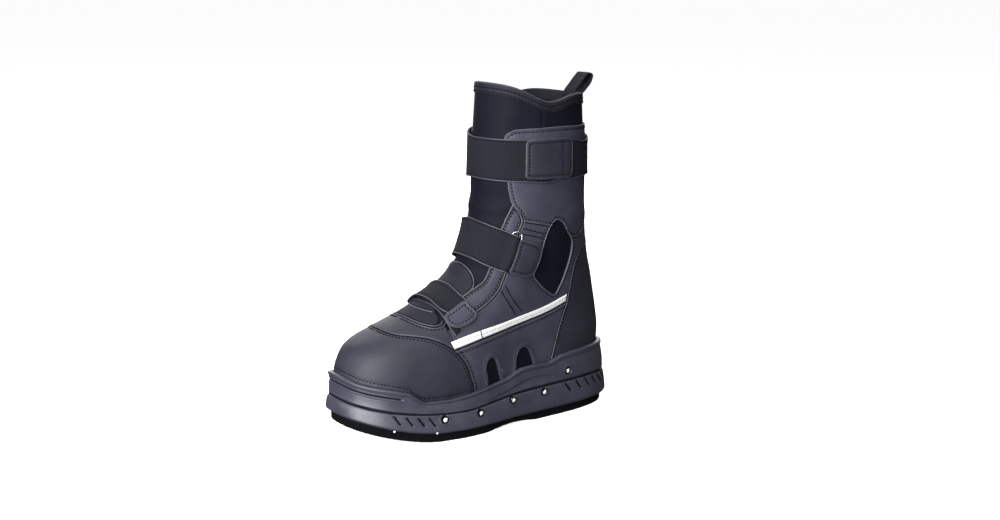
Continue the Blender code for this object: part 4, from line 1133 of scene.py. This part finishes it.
# Reflective stripes: white tape with a beaded face, one along each quarter.
# Each is sewn on along its middle in grey thread and has one slit near its front end.
STRIPE_TOP = ((57.3, 95.5), (32.7, 101), (-18.6, 109), (-66.4, 117.4), (-90, 124))
STRIPE_LIFT = (2.2, 2.9)
STRIPE_SLIT = ((24, 102.6), (23.5, 95.8))
STRIPE_MIDDLE = ((-88, 120.8), (-66.5, 114.4), (-18.4, 106), (30, 98.3), (55, 92.8))
stripe_look = surface(
    "reflective_tape", (0.55, 0.55, 0.55), (0.63, 0.63, 0.63), 260, (0.35, 0.5), (("cell", 1800, 0.06),),
    {"Specular IOR Level": 0.6})
stripe_loop = joined(edge(STRIPE_TOP), stripe_low)
stripe_row = edge(STRIPE_MIDDLE)
stripe_rows = []
for side, way in SIDES:
    loop, row, slit = sided([stripe_loop, stripe_row, edge(STRIPE_SLIT)], way)
    panel(f"stripe_{side}_tape", loop, stripe_look, [f"stripe_{side}"], low=STRIPE_LIFT[0],
          top=STRIPE_LIFT[1])
    stripe_rows.append(skin(row[2:-2, 0], row[2:-2, 1], STRIPE_LIFT[1] + 0.05))
    # The slit is drawn as a painted shade line.
    shade_line(slit, STRIPE_LIFT[1])

# Eyestays: coated bands along both sides of the instep, which stiffen the edge of the throat.
# Each is folded at both edges and stitched inside the folds.
EYESTAY_FRONT = (
    (-22, 222), (-16, 208), (-11, 195), (-5, 177), (2.5, 157.5), (9.5, 147.3), (20, 140.2), (29.4, 134.6),
    (45, 126), (54.5, 120))
eyestay_front = edge(EYESTAY_FRONT)
eyestay_loop = joined(eyestay_front, eyestay_rear[::-1])
eyestay_rows = [beside(eyestay_front, 3.2)[4:-10], beside(eyestay_rear, -3.2)[10:-10]]
eyestay_shade_lines = [beside(eyestay_front, 1.5), beside(eyestay_rear, -1.5), beside(eyestay_rear, 1.3)]
eyestay_fold = beside(eyestay_rear, 2.6)[:-10]
for side, way in SIDES:
    loop, fold = sided([eyestay_loop, eyestay_fold], way)
    rows = sided(eyestay_rows, way)
    panel(f"eyestay_{side}_coated", loop, coated_look, [f"eyestay_{side}"], seams=rows)
    for row in rows:
        stitch(row)
    for path in sided([eyestay_front[:-8], eyestay_rear[:-6]], way):
        bead(path)
    # Painted shade lines lie in the grooves along both edges of the stay.
    for line in sided(eyestay_shade_lines, way):
        shade_line(line[:-10])
    bead(fold, soft=True)

# Heel counter: a coated panel round the heel with a stiff board behind it.
# It laps over the quarters and is stitched along its edge.
counter_other = mirrored(counter_edge, math.pi)
counter_loop = joined(counter_edge, counter_other[::-1], foot(counter_other[0, 0], counter_edge[0, 0]))
counter_rows = [beside(counter_edge, -2.4)[3:-2]]
counter_rows += [mirrored(row, math.pi) for row in counter_rows]
# The heel counter takes the darker microfibre: painted shade on the heel.
panel("heel_counter_coated", counter_loop, shaded_microfibre_look, ["heel_counter"], seams=counter_rows)
bead(np.concatenate([counter_edge, counter_other[::-1]]))
for row in counter_rows:
    stitch(row)
# A painted shade line lies along the counter's edge, on the quarter.
counter_shade_line = beside(counter_edge, 1.2)[:-1]
for path in both(counter_shade_line, math.pi):
    shade_line(path)

# Shaft cuff: the coated wrap round the shaft, open in front with rounded corners.
# It laps over the stays and the quarters, leaves the ankle windows free and is stitched along its edges.
CUFF_FRONT = (
    (-30, 206), (-28, 213), (-22, 222), (-19.5, 232), (-18, 262), (-16, 284), (-17, 290), (-22, 294),
    (-37, 296))
CUFF_TOP = ((-37, 296), (-70, 297), (-106, 296), (-150, 296))


def clear_of(path, window):
    """The runs of a line that stay outside a window."""
    inside = within(path * FLAT, window * FLAT)
    runs = np.split(np.arange(len(path)), np.flatnonzero(np.diff(inside.astype(int))) + 1)
    return [path[run] for run in runs if len(run) > 3 and not inside[run[0]]]


cuff_front, cuff_top = edge(CUFF_FRONT), edge(CUFF_TOP)
cuff_edge = np.concatenate([cuff_front, cuff_top[1:]])
cuff_half = np.concatenate([cuff_low, cuff_edge])
cuff_loop = joined(cuff_half, mirrored(cuff_half, math.pi)[::-1])
cuff_rows = [beside(cuff_edge, -3.0)[3:-1], *clear_of(beside(cuff_low, -2.4)[1:-3], ankle_window)]
cuff_rows += [mirrored(row, math.pi) for row in cuff_rows]
cuff_windows = [ankle_window, mirrored(ankle_window, math.pi)]
panel("shaft_cuff_coated", cuff_loop, coated_look, ["shaft_cuff"], seams=cuff_rows,
      windows=cuff_windows)
for path in (cuff_edge, *clear_of(cuff_low, ankle_window)):
    for line in both(path):
        bead(line)
# A painted shade line lies below the cuff's lower edge.
for path in clear_of(beside(cuff_low, 1.2), ankle_window):
    for line in both(path):
        shade_line(line)
for row in cuff_rows:
    stitch(row)

# Throat flap: a flap of webbing under the low strap, sewn to both stays so that it bridges the throat.
# Its front edge is turned under.
FLAP_FRONT = ((51, 100), (53.4, 106.7), (54.9, 114), (55.8, 120), (58.5, 125.2), (63, 124.4), (70, 120.4))
FLAP_REAR = ((44, 104), (46, 116), (47.5, 125), (50, 130), (54, 138))
FLAP_LIFT = (2.1, 3.2)
RIB_PITCH = 1.5
WAVE_LENGTH = 0.314
webbing_look = surface(
    "ribbed_webbing", (0.0046, 0.0046, 0.0080), (0.0090, 0.0090, 0.0138), 300, (0.75, 0.92),
    (("rib", WAVE_LENGTH / RIB_PITCH, 0.35), ("noise", 1500, 0.12)), {"Specular IOR Level": 0.16})
flap_front, flap_rear = edge(FLAP_FRONT), edge(FLAP_REAR)
flap_half = np.concatenate([flap_rear[::-1], flap_front])
flap_loop = joined(flap_half, mirrored(flap_half)[::-1])
panel("throat_flap_coated", flap_loop, webbing_look, low=FLAP_LIFT[0], top=FLAP_LIFT[1])
# The turned front edge has a pale bead, partly a painted highlight, and a painted shade line under it.
for path in both(flap_front):
    bead(path, FLAP_LIFT[1] - 0.4, soft=True)
    shade_line(path, FLAP_LIFT[0] - 0.2)

# Straps: ribbed hook-and-loop webbing, cut to length, with a row of stitches along both edges.
# The top one goes round the shaft in two lengths. The other two lie over the instep, up to their rings.
STRAP_LIFT = (2.9, 4.9)
TOP_STRAP = (
    (-83, 284, 248), (-78, 287, 246), (0, 287, 247), (60, 286, 245), (93, 285, 245.5), (97, 282, 249))
TOP_STRAP_BASE = (
    (99.5, 281, 249), (104, 283.5, 246), (127, 281, 246), (180, 286, 246), (268, 286, 246), (274, 284, 249))
MID_STRAP = (
    (-64, 190, 155), (-52, 195, 158.8), (-42, 198.3, 161.8), (-15, 204.8, 169), (0, 206.5, 170.2),
    (15, 204.8, 169), (42, 198.3, 161.8), (52, 195, 158.8), (64, 190, 155))
LOW_STRAP = (
    (-66, 123, 111), (-60, 125, 113), (-45, 130.5, 117.5), (-24, 140.4, 125.8), (-12, 143.3, 128.2),
    (0, 144.2, 128.8), (12, 143.4, 128.2), (24, 140.6, 125.8), (36, 136.4, 122.4), (45, 132.6, 119.8),
    (54, 127.2, 115.6), (62, 121.4, 111.6))
STRAP_COLUMNS = 26
ROWS_PER_DEGREE = 0.9
STRAP_EDGE_RADIUS = 0.9
STRAP_STITCH = 2.2
STRAP_FOLD = 0.3
STRAP_DENT, STRAP_DENT_SPREAD = 0.35, 0.6
STRAP_LINE_SINK = 0.25
SWELL_TURNS = 5.0
STAND_TURNS = 38.0


def strap_rise(degrees, part, swells, stand):
    """How far a strap stands off its seat: along its lower edge in front, and over its rings."""
    rise = stand * (1 - part) ** 2 * bell(degrees, STAND_TURNS)
    for middle, size in swells:
        rise = rise + size * bell(degrees - middle, SWELL_TURNS)
    return rise


def sheet_faces(count, columns):
    """Faces of two grids of points, one over the other, closed round their rim."""
    total = count * columns
    faces = []
    for k in range(count - 1):
        for a in range(k * columns, (k + 1) * columns - 1):
            faces.append((a, a + columns, a + columns + 1, a + 1))
            faces.append((total + a, total + a + 1, total + a + columns + 1, total + a + columns))
    rim = list(range(columns)) + [k * columns + columns - 1 for k in range(1, count)]
    rim += [total - 1 - j for j in range(1, columns)] + [k * columns for k in range(count - 2, 0, -1)]
    return faces + [(a, b, total + b, total + a) for a, b in zip(rim, rim[1:] + rim[:1])]


def band(name, table, swells=(), stand=0.0):
    """A strap round the last. It swells over the rings and can stand off along its lower edge."""
    rows = spline(table, round((table[-1][0] - table[0][0]) * ROWS_PER_DEGREE))
    degrees, foot_z, width = rows[:, :1], rows[:, 2:3], rows[:, 1:2] - rows[:, 2:3]
    across = 0.5 - 0.5 * np.cos(np.linspace(0, math.pi, STRAP_COLUMNS))[None]
    turn = np.radians(degrees) + 0 * across
    height = height_at(turn, foot_z + width * across, STRAP_LIFT[0])
    base = last_point(turn, height)
    step = np.linalg.norm(np.diff(base, axis=0), axis=2).mean(axis=1)
    run = np.concatenate([[0], np.cumsum(step)])[:, None] + 0 * across
    side = np.minimum(across, 1 - across) * width
    gap = np.minimum(side, np.minimum(run, run[-1] - run) + 0.02)
    thick = (STRAP_LIFT[1] - STRAP_LIFT[0]) * edge_round(gap, STRAP_EDGE_RADIUS)
    thick = thick - STRAP_DENT * bell(side - STRAP_STITCH, STRAP_DENT_SPREAD)
    rise = STRAP_LIFT[0] + strap_rise(degrees, across, swells, stand)
    points = [skin(turn, height, lift).reshape(-1, 3) for lift in (rise + thick, rise)]
    weave = np.stack([run, across * width], axis=-1).reshape(-1, 2)
    add_piece(f"{name}_webbing", np.concatenate(points), sheet_faces(*turn.shape), [webbing_look],
              [name], uv=np.concatenate([weave, weave]))
    # Stitches run inside both edges; the pale lines at the folded edges are a painted highlight.
    for inset in (STRAP_STITCH, STRAP_FOLD):
        for place in (inset / width, 1 - inset / width):
            turn = np.radians(degrees)
            height = height_at(turn, foot_z + width * place, STRAP_LIFT[0])
            lift = STRAP_LIFT[1] - STRAP_LINE_SINK + strap_rise(degrees, place, swells, stand)
            line = skin(turn, height, lift)[:, 0]
            if inset == STRAP_STITCH:
                stitch_rows.append(line[3:-3])
            else:
                soft_lines.append(line)


band("top_strap", TOP_STRAP, [(-81, 2.4)])
band("top_strap_base", TOP_STRAP_BASE)
band("mid_strap", MID_STRAP, [(59.5, 3.1), (-59.5, 3.1)])
band("low_strap", LOW_STRAP, [(-64.5, 2.2)], 3.4)

# Strap tabs and chapes: coated end pieces with rounded corners and a turned edge, boxed in with stitches.
# The tabs close the straps on the outer side, and the chapes tie the rings to the upper.
MID_CHAPE = ((63.3, 188.6), (79.5, 182.6), (86, 177.5), (86.6, 153), (81.5, 150.3), (64, 156.6))
TOP_TAB = ((61.5, 285), (80, 285.8), (106.6, 286.4), (106.8, 247), (80, 247.6), (61.8, 248.2))
LOW_TAB = ((46.5, 131.6), (60, 124), (67.8, 118.4), (68.4, 112.4), (64, 108), (45.2, 119))
LOW_CHAPE = ((-69, 121.5), (-80, 117.5), (-84.5, 113), (-84, 106), (-80, 103), (-70, 107))
TABS = (
    # CAD node, corners as turn and z, lower lift
    ("top_strap_tab", TOP_TAB, 5.2), ("mid_chape_outer", MID_CHAPE, 4.8),
    ("mid_chape_inner", tuple((-turn, z) for turn, z in MID_CHAPE), 4.8), ("low_strap_tab", LOW_TAB, 5.2),
    ("low_chape", LOW_CHAPE, 3.6))
TAB_THICKNESS = 1.6
TAB_CORNERS = (3.0, 4.5, 6.0, 6.0, 4.5, 3.0)
TAB_STITCH = 3.0
TAB_BEAD = 1.0
TOP_TAB_ROW = ((95, 283), (96, 247))
TURN_SCALE = (0.9, 1.0)


def rounded(corners):
    """A closed outline with its corners rounded, as turn in degrees and z."""
    spots = np.asarray(corners, float) * TURN_SCALE
    line = []
    for k, spot in enumerate(spots):
        before, after = spots[k - 1] - spot, spots[(k + 1) % len(spots)] - spot
        first = spot + before * min(TAB_CORNERS[k] / np.linalg.norm(before), 0.45)
        last = spot + after * min(TAB_CORNERS[k] / np.linalg.norm(after), 0.45)
        for part in np.linspace(0, 1, 9):
            line.append(first * (1 - part) ** 2 + 2 * spot * part * (1 - part) + last * part ** 2)
    line = np.array(line + line[:1])
    run = run_along(line)
    places = np.linspace(0, run[-1], round(run[-1]))[:-1]
    return np.stack([np.interp(places, run, line[:, k]) / TURN_SCALE[k] for k in (0, 1)], axis=1)


def by_turn(points, lift):
    points = np.asarray(points, float)
    turn = np.radians(points[:, 0])
    return np.stack([turn, height_at(turn, points[:, 1], lift)], axis=1)


for node, corners, low in TABS:
    loop = by_turn(rounded(corners), low)
    box = beside(loop, -TAB_STITCH if corners[1][0] > corners[0][0] else TAB_STITCH, True)
    rows = [np.concatenate([box, box[:1]])]
    if node == "top_strap_tab":
        rows.append(by_turn(spline(TOP_TAB_ROW, 36), low))
    # All but the low tab take the darker microfibre: painted shade.
    look = coated_look if node == "low_strap_tab" else shaded_microfibre_look
    panel(f"{node}_coated", loop, look, [node], seams=rows, low=low, top=low + TAB_THICKNESS)
    # A pale bead round the tab's turned edge: partly the pale edge, partly a painted highlight.
    bead(np.concatenate([loop, loop[:1]]), low + TAB_BEAD, soft=True)
    for row in rows:
        stitch(row, low + TAB_THICKNESS)

# Rings: loops of bright plated wire, bent to a flat oval and welded shut, where the straps turn back.
# They follow the curve of the boot, and the strap ends lie over them.
RINGS = (
    # CAD node, turn, half turn, top z, bottom z
    ("top_ring", -81, 2.6, 290, 243), ("mid_ring_outer", 59.5, 6.0, 195.2, 160),
    ("mid_ring_inner", -59.5, 6.0, 195.2, 160), ("low_ring", -64.5, 2.2, 126, 106.5))
RING_LIFT = 4.0
RING_RADIUS = 0.9
RING_STEPS = 64
RING_POWERS = (0.6, 0.45)
WIRE_SIDES = 14
ring_look = surface(
    "plated_wire", (0.62, 0.62, 0.63), (0.74, 0.74, 0.74), 700, (0.20, 0.30), (("noise", 1400, 0.02),),
    {"Metallic": 1.0})
for node, turn, half, top, bottom in RINGS:
    spots = []
    for angle in np.linspace(0, 2 * math.pi, RING_STEPS, endpoint=False):
        reach = math.copysign(abs(math.cos(angle)) ** RING_POWERS[0], math.cos(angle))
        climb = math.copysign(abs(math.sin(angle)) ** RING_POWERS[1], math.sin(angle))
        spots.append((turn + half * reach, (top + bottom) / 2 + (top - bottom) / 2 * climb))
    path = by_turn(spots, RING_LIFT)
    line = skin(path[:, 0], path[:, 1], RING_LIFT)
    _, _, out = last_ways(path[:, 0], path[:, 1])
    way = np.roll(line, -1, axis=0) - np.roll(line, 1, axis=0)
    way /= np.linalg.norm(way, axis=1, keepdims=True)
    aside = np.cross(way, out)
    aside /= np.linalg.norm(aside, axis=1, keepdims=True)
    out = np.cross(aside, way)
    wire = []
    for side in np.arange(WIRE_SIDES) * 2 * math.pi / WIRE_SIDES:
        wire.append(line + RING_RADIUS * (aside * math.cos(side) + out * math.sin(side)))
    points, faces = closed_tube(wire)
    add_piece(f"{node}_wire", points, faces, [ring_look], [node])

# Pull loop: one length of ribbed webbing, slightly cupped across its width.
# It is folded over and sewn through the back of the collar.
PULL_LOOP = (
    (-123.2, 300), (-122.6, 322), (-130, 329.5), (-137, 338), (-138, 343.5), (-133.3, 345.2), (-128, 341),
    (-122.6, 335), (-115.6, 327), (-115.6, 303))
LOOP_HALF_WIDTH = 9.0
LOOP_THICKNESS = 1.8
LOOP_BEND_RADIUS = 36.0
LOOP_STEPS, LOOP_COLUMNS = 120, 21
LOOP_EDGE_RADIUS, LOOP_EDGE_SHARE = 0.8, 0.4
LOOP_STITCH, LOOP_DENT, LOOP_DENT_SPREAD = 2.0, 0.15, 0.5
path = spline(PULL_LOOP, LOOP_STEPS)
way = np.gradient(path, axis=0)
way /= np.linalg.norm(way, axis=1, keepdims=True)
aside = np.stack([-way[:, 1], way[:, 0]], axis=1)
run = run_along(path)
points, weave = [], []
for side in (1, -1):
    for y in -LOOP_HALF_WIDTH * np.cos(np.linspace(0, math.pi, LOOP_COLUMNS)):
        gap = LOOP_HALF_WIDTH - abs(y)
        half = LOOP_THICKNESS / 2 * edge_round(gap, LOOP_EDGE_RADIUS, LOOP_EDGE_SHARE)
        half -= LOOP_DENT * bell(gap - LOOP_STITCH, LOOP_DENT_SPREAD)
        line = path + aside * half * side
        bend = y * y / (2 * LOOP_BEND_RADIUS)
        points.append(np.stack([line[:, 0] + bend, np.full(len(line), y), line[:, 1]], axis=1))
        weave.append(np.stack([run, np.full(len(line), y)], axis=1))
add_piece("pull_loop_webbing", np.concatenate(points), sheet_faces(LOOP_COLUMNS, LOOP_STEPS), [webbing_look],
          ["pull_loop"], uv=np.concatenate(weave))

# Edge piping: the folded edges of the panels, a thin pale line that is partly the pale core of the coated
# cloth and partly painted highlight.
# The turned edges of the tabs, straps and slots and the sole's lip are the same bead, only darker; on the
# straps and the lip it is painted highlight alone.
BEAD_RADIUS = 0.6


def line_mesh(name, lines):
    """Open lines as one mesh of points and edges."""
    points, edges = [], []
    for line in lines:
        first = len(points)
        points += (np.asarray(line) * MM).tolist()
        edges += [(first + k, first + k + 1) for k in range(len(line) - 1)]
    mesh = bpy.data.meshes.new(name)
    mesh.from_pydata(points, edges, [])
    return mesh


bead_tree, start, end = new_tree("edge piping", "Radius", "Material")
curve = chain(bead_tree, "GeometryNodeMeshToCurve", Mesh=start.outputs[0])
profile = chain(bead_tree, "GeometryNodeCurvePrimitiveCircle", Radius=start.outputs["Radius"])
fill(profile, {"Resolution": 6})
tube = chain(bead_tree, "GeometryNodeCurveToMesh", Curve=curve.outputs[0], Profile_Curve=profile.outputs[0])
fill(tube, {"Fill Caps": True})
end_tree(bead_tree, start, end, tube.outputs[0])
piping_highlight_look = surface(
    "folded_edge_highlight", (0.046, 0.046, 0.060), (0.070, 0.070, 0.088), 220, (0.42, 0.56), (("noise", 1600, 0.05),))
soft_edge_highlight_look = surface(
    "turned_edge_highlight", (0.028, 0.028, 0.040), (0.040, 0.040, 0.054), 220, (0.42, 0.56), (("noise", 1600, 0.05),))
soft_lines.append(np.concatenate([lip_highlight_line, lip_highlight_line[:1]]))
for name, lines, look in (("edge_piping_highlight", edge_lines, piping_highlight_look), ("turned_edge_highlights", soft_lines, soft_edge_highlight_look)):
    grow(name, line_mesh(name, lines), bead_tree, {"Radius": BEAD_RADIUS * MM, "Material": look})

# Shade lines: a thin near-black tube laid in the joints where one sheet laps another, as painted shade in the
# gap.
# The same painted shade line lies in the slits, the groove and the gap of the sole and round each rivet.
SHADE_LINE_RADIUS = 0.55
RIVET_SHADE_RING = 3.1
shade_lines += [np.concatenate([gap_line, gap_line[:1]]), groove_line, *slit_lines]
circle = np.linspace(0, 2 * math.pi, 25)[:, None]
# A painted shade ring round each rivet, in its pocket.
for _, (centre, out, way) in rivet_frames:
    ring = way * np.cos(circle) + np.array((0, 0, 1)) * np.sin(circle)
    shade_lines.append(centre - 0.1 * out + RIVET_SHADE_RING * ring)
shade_line_look = surface(
    "painted_shade_line", (0.0015, 0.0015, 0.002), (0.003, 0.003, 0.004), 400, (0.7, 0.85), (("noise", 1600, 0.05),),
    {"Specular IOR Level": 0.1})
grow("painted_shade_lines", line_mesh("shade_line_mesh", shade_lines), bead_tree,
     {"Radius": SHADE_LINE_RADIUS * MM, "Material": shade_line_look})

# Stitches: black bonded thread in even lockstitches, sunk in their rows.
# The stripes are sewn with a finer grey thread.
STITCH_STEP = 3.6
STITCH_SIZE = (1.2, 0.7, 0.6)
FINE_SHARE = 0.8
thread_look = surface(
    "black_thread", (0.0015, 0.0015, 0.002), (0.004, 0.004, 0.005), 500, (0.6, 0.8), (("noise", 3000, 0.05),),
    {"Specular IOR Level": 0.1})
grey_thread_look = surface(
    "grey_thread", (0.16, 0.16, 0.17), (0.24, 0.24, 0.25), 500, (0.6, 0.8), (("noise", 3000, 0.05),))
stitch_tree, start, end = new_tree("stitches", "Step", "Size", "Material")
curve = chain(stitch_tree, "GeometryNodeMeshToCurve", Mesh=start.outputs[0])
spread = chain(stitch_tree, "GeometryNodeResampleCurve", Curve=curve.outputs[0])
spread.mode = "LENGTH"
stitch_tree.links.new(start.outputs["Step"], spread.inputs["Length"])
tangent = stitch_tree.nodes.new("GeometryNodeInputTangent")
turned = chain(stitch_tree, "FunctionNodeAlignRotationToVector", Vector=tangent.outputs[0])
turned.axis = "X"
loop = stitch_tree.nodes.new("GeometryNodeMeshUVSphere")
fill(loop, {"Segments": 6, "Rings": 4, "Radius": 1.0})
copies = chain(
    stitch_tree, "GeometryNodeInstanceOnPoints", Points=spread.outputs[0], Instance=loop.outputs[0],
    Rotation=turned.outputs[0], Scale=start.outputs["Size"])
end_tree(stitch_tree, start, end, copies.outputs[0])
for name, rows, share, look in (
        ("stitches", stitch_rows, 1.0, thread_look),
        ("stripe_stitches", stripe_rows, FINE_SHARE, grey_thread_look)):
    size = tuple(share * length * MM for length in STITCH_SIZE)
    grow(name, line_mesh(name, rows), stitch_tree, {"Step": STITCH_STEP * MM, "Size": size, "Material": look})

# Floor, light and camera: a plain pale floor, and a broad key light to the left of the camera.
# A light from above, a small one far to the left and a soft one behind fill in, with a faint sun and sky.
# The camera has the photo's angle to the boot.
floor_look = surface(
    "pale_floor", (0.90, 0.90, 0.90), (0.92, 0.92, 0.92), 3, (0.75, 0.85), (("noise", 40, 0.01),),
    {"Specular IOR Level": 0.1, "Emission Color": (1.0, 1.0, 1.0, 1.0), "Emission Strength": 0.8})
floor_mesh = bpy.data.meshes.new("floor")
floor_mesh.from_pydata([(-40, -40, 0), (40, -40, 0), (40, 40, 0), (-40, 40, 0)], [], [(0, 1, 2, 3)])
floor_mesh.materials.append(floor_look)
floor = bpy.data.objects.new("floor", floor_mesh)
bpy.context.scene.collection.objects.link(floor)
floor.visible_diffuse = False
floor.visible_glossy = False

CAMERA_AZIMUTH = math.radians(146.898)
CAMERA_ELEVATION = math.radians(11.339)
CAMERA_ROLL = math.radians(0.386)
CAMERA_DISTANCE = 1.44025
CAMERA_TARGET = Vector((0.0, 0.0, 0.165))
FOCAL = 1437.746
CENTRE = (474.472, 257.940)
PICTURE = (1000, 520)
back = Vector((
    math.sin(CAMERA_AZIMUTH) * math.cos(CAMERA_ELEVATION),
    -math.cos(CAMERA_AZIMUTH) * math.cos(CAMERA_ELEVATION),
    math.sin(CAMERA_ELEVATION)))
right = Vector((0, 0, 1)).cross(back).normalized()
up = back.cross(right)
rolled_right = math.cos(CAMERA_ROLL) * right + math.sin(CAMERA_ROLL) * up
rolled_up = math.cos(CAMERA_ROLL) * up - math.sin(CAMERA_ROLL) * right
camera_data = bpy.data.cameras.new("camera")
camera_data.sensor_width = 36.0
camera_data.lens = FOCAL / PICTURE[0] * camera_data.sensor_width
camera_data.shift_x = (PICTURE[0] / 2 - CENTRE[0]) / PICTURE[0]
camera_data.shift_y = (CENTRE[1] - PICTURE[1] / 2) / PICTURE[0]
camera = bpy.data.objects.new("camera", camera_data)
axes = Matrix((rolled_right, rolled_up, back)).transposed().to_4x4()
camera.matrix_world = Matrix.Translation(CAMERA_TARGET + CAMERA_DISTANCE * back) @ axes
bpy.context.scene.collection.objects.link(camera)
bpy.context.scene.camera = camera

LIGHTS = (
    # name, strength, place in the camera's right, up and back, size
    ("key", 155.0, (-0.72, 0.25, 1.78), 1.8),
    ("top", 34.0, (-0.1, 1.9, 0.5), 1.6),
    ("side", 8.0, (-1.8, 0.4, 0.5), 0.7),
    ("back", 40.0, (-0.2, 0.9, -1.9), 2.2))
SUN_STRENGTH = 0.3
SUN_SPREAD = math.radians(120)
SUN_LEAN = (math.radians(25), math.radians(-15), 0)
WORLD_STRENGTH = 0.10
level_back = Vector((back.x, back.y, 0)).normalized()
for name, strength, (to_right, to_up, to_back), size in LIGHTS:
    light = bpy.data.lights.new(name, "AREA")
    light.energy = strength
    light.size = size
    lamp = bpy.data.objects.new(name, light)
    place = CAMERA_TARGET + to_right * right + to_up * Vector((0, 0, 1)) + to_back * level_back
    lamp.location = place
    lamp.rotation_euler = (CAMERA_TARGET - place).to_track_quat("-Z", "Y").to_euler()
    bpy.context.scene.collection.objects.link(lamp)
sun_data = bpy.data.lights.new("soft_top", "SUN")
sun_data.energy = SUN_STRENGTH
sun_data.angle = SUN_SPREAD
sun = bpy.data.objects.new("soft_top", sun_data)
sun.rotation_euler = SUN_LEAN
bpy.context.scene.collection.objects.link(sun)
world = bpy.data.worlds.new("studio")
world.use_nodes = True
world.node_tree.nodes["Background"].inputs["Color"].default_value = (1.0, 1.0, 1.0, 1.0)
world.node_tree.nodes["Background"].inputs["Strength"].default_value = WORLD_STRENGTH
bpy.context.scene.world = world
bpy.context.scene.view_settings.view_transform = "Standard"
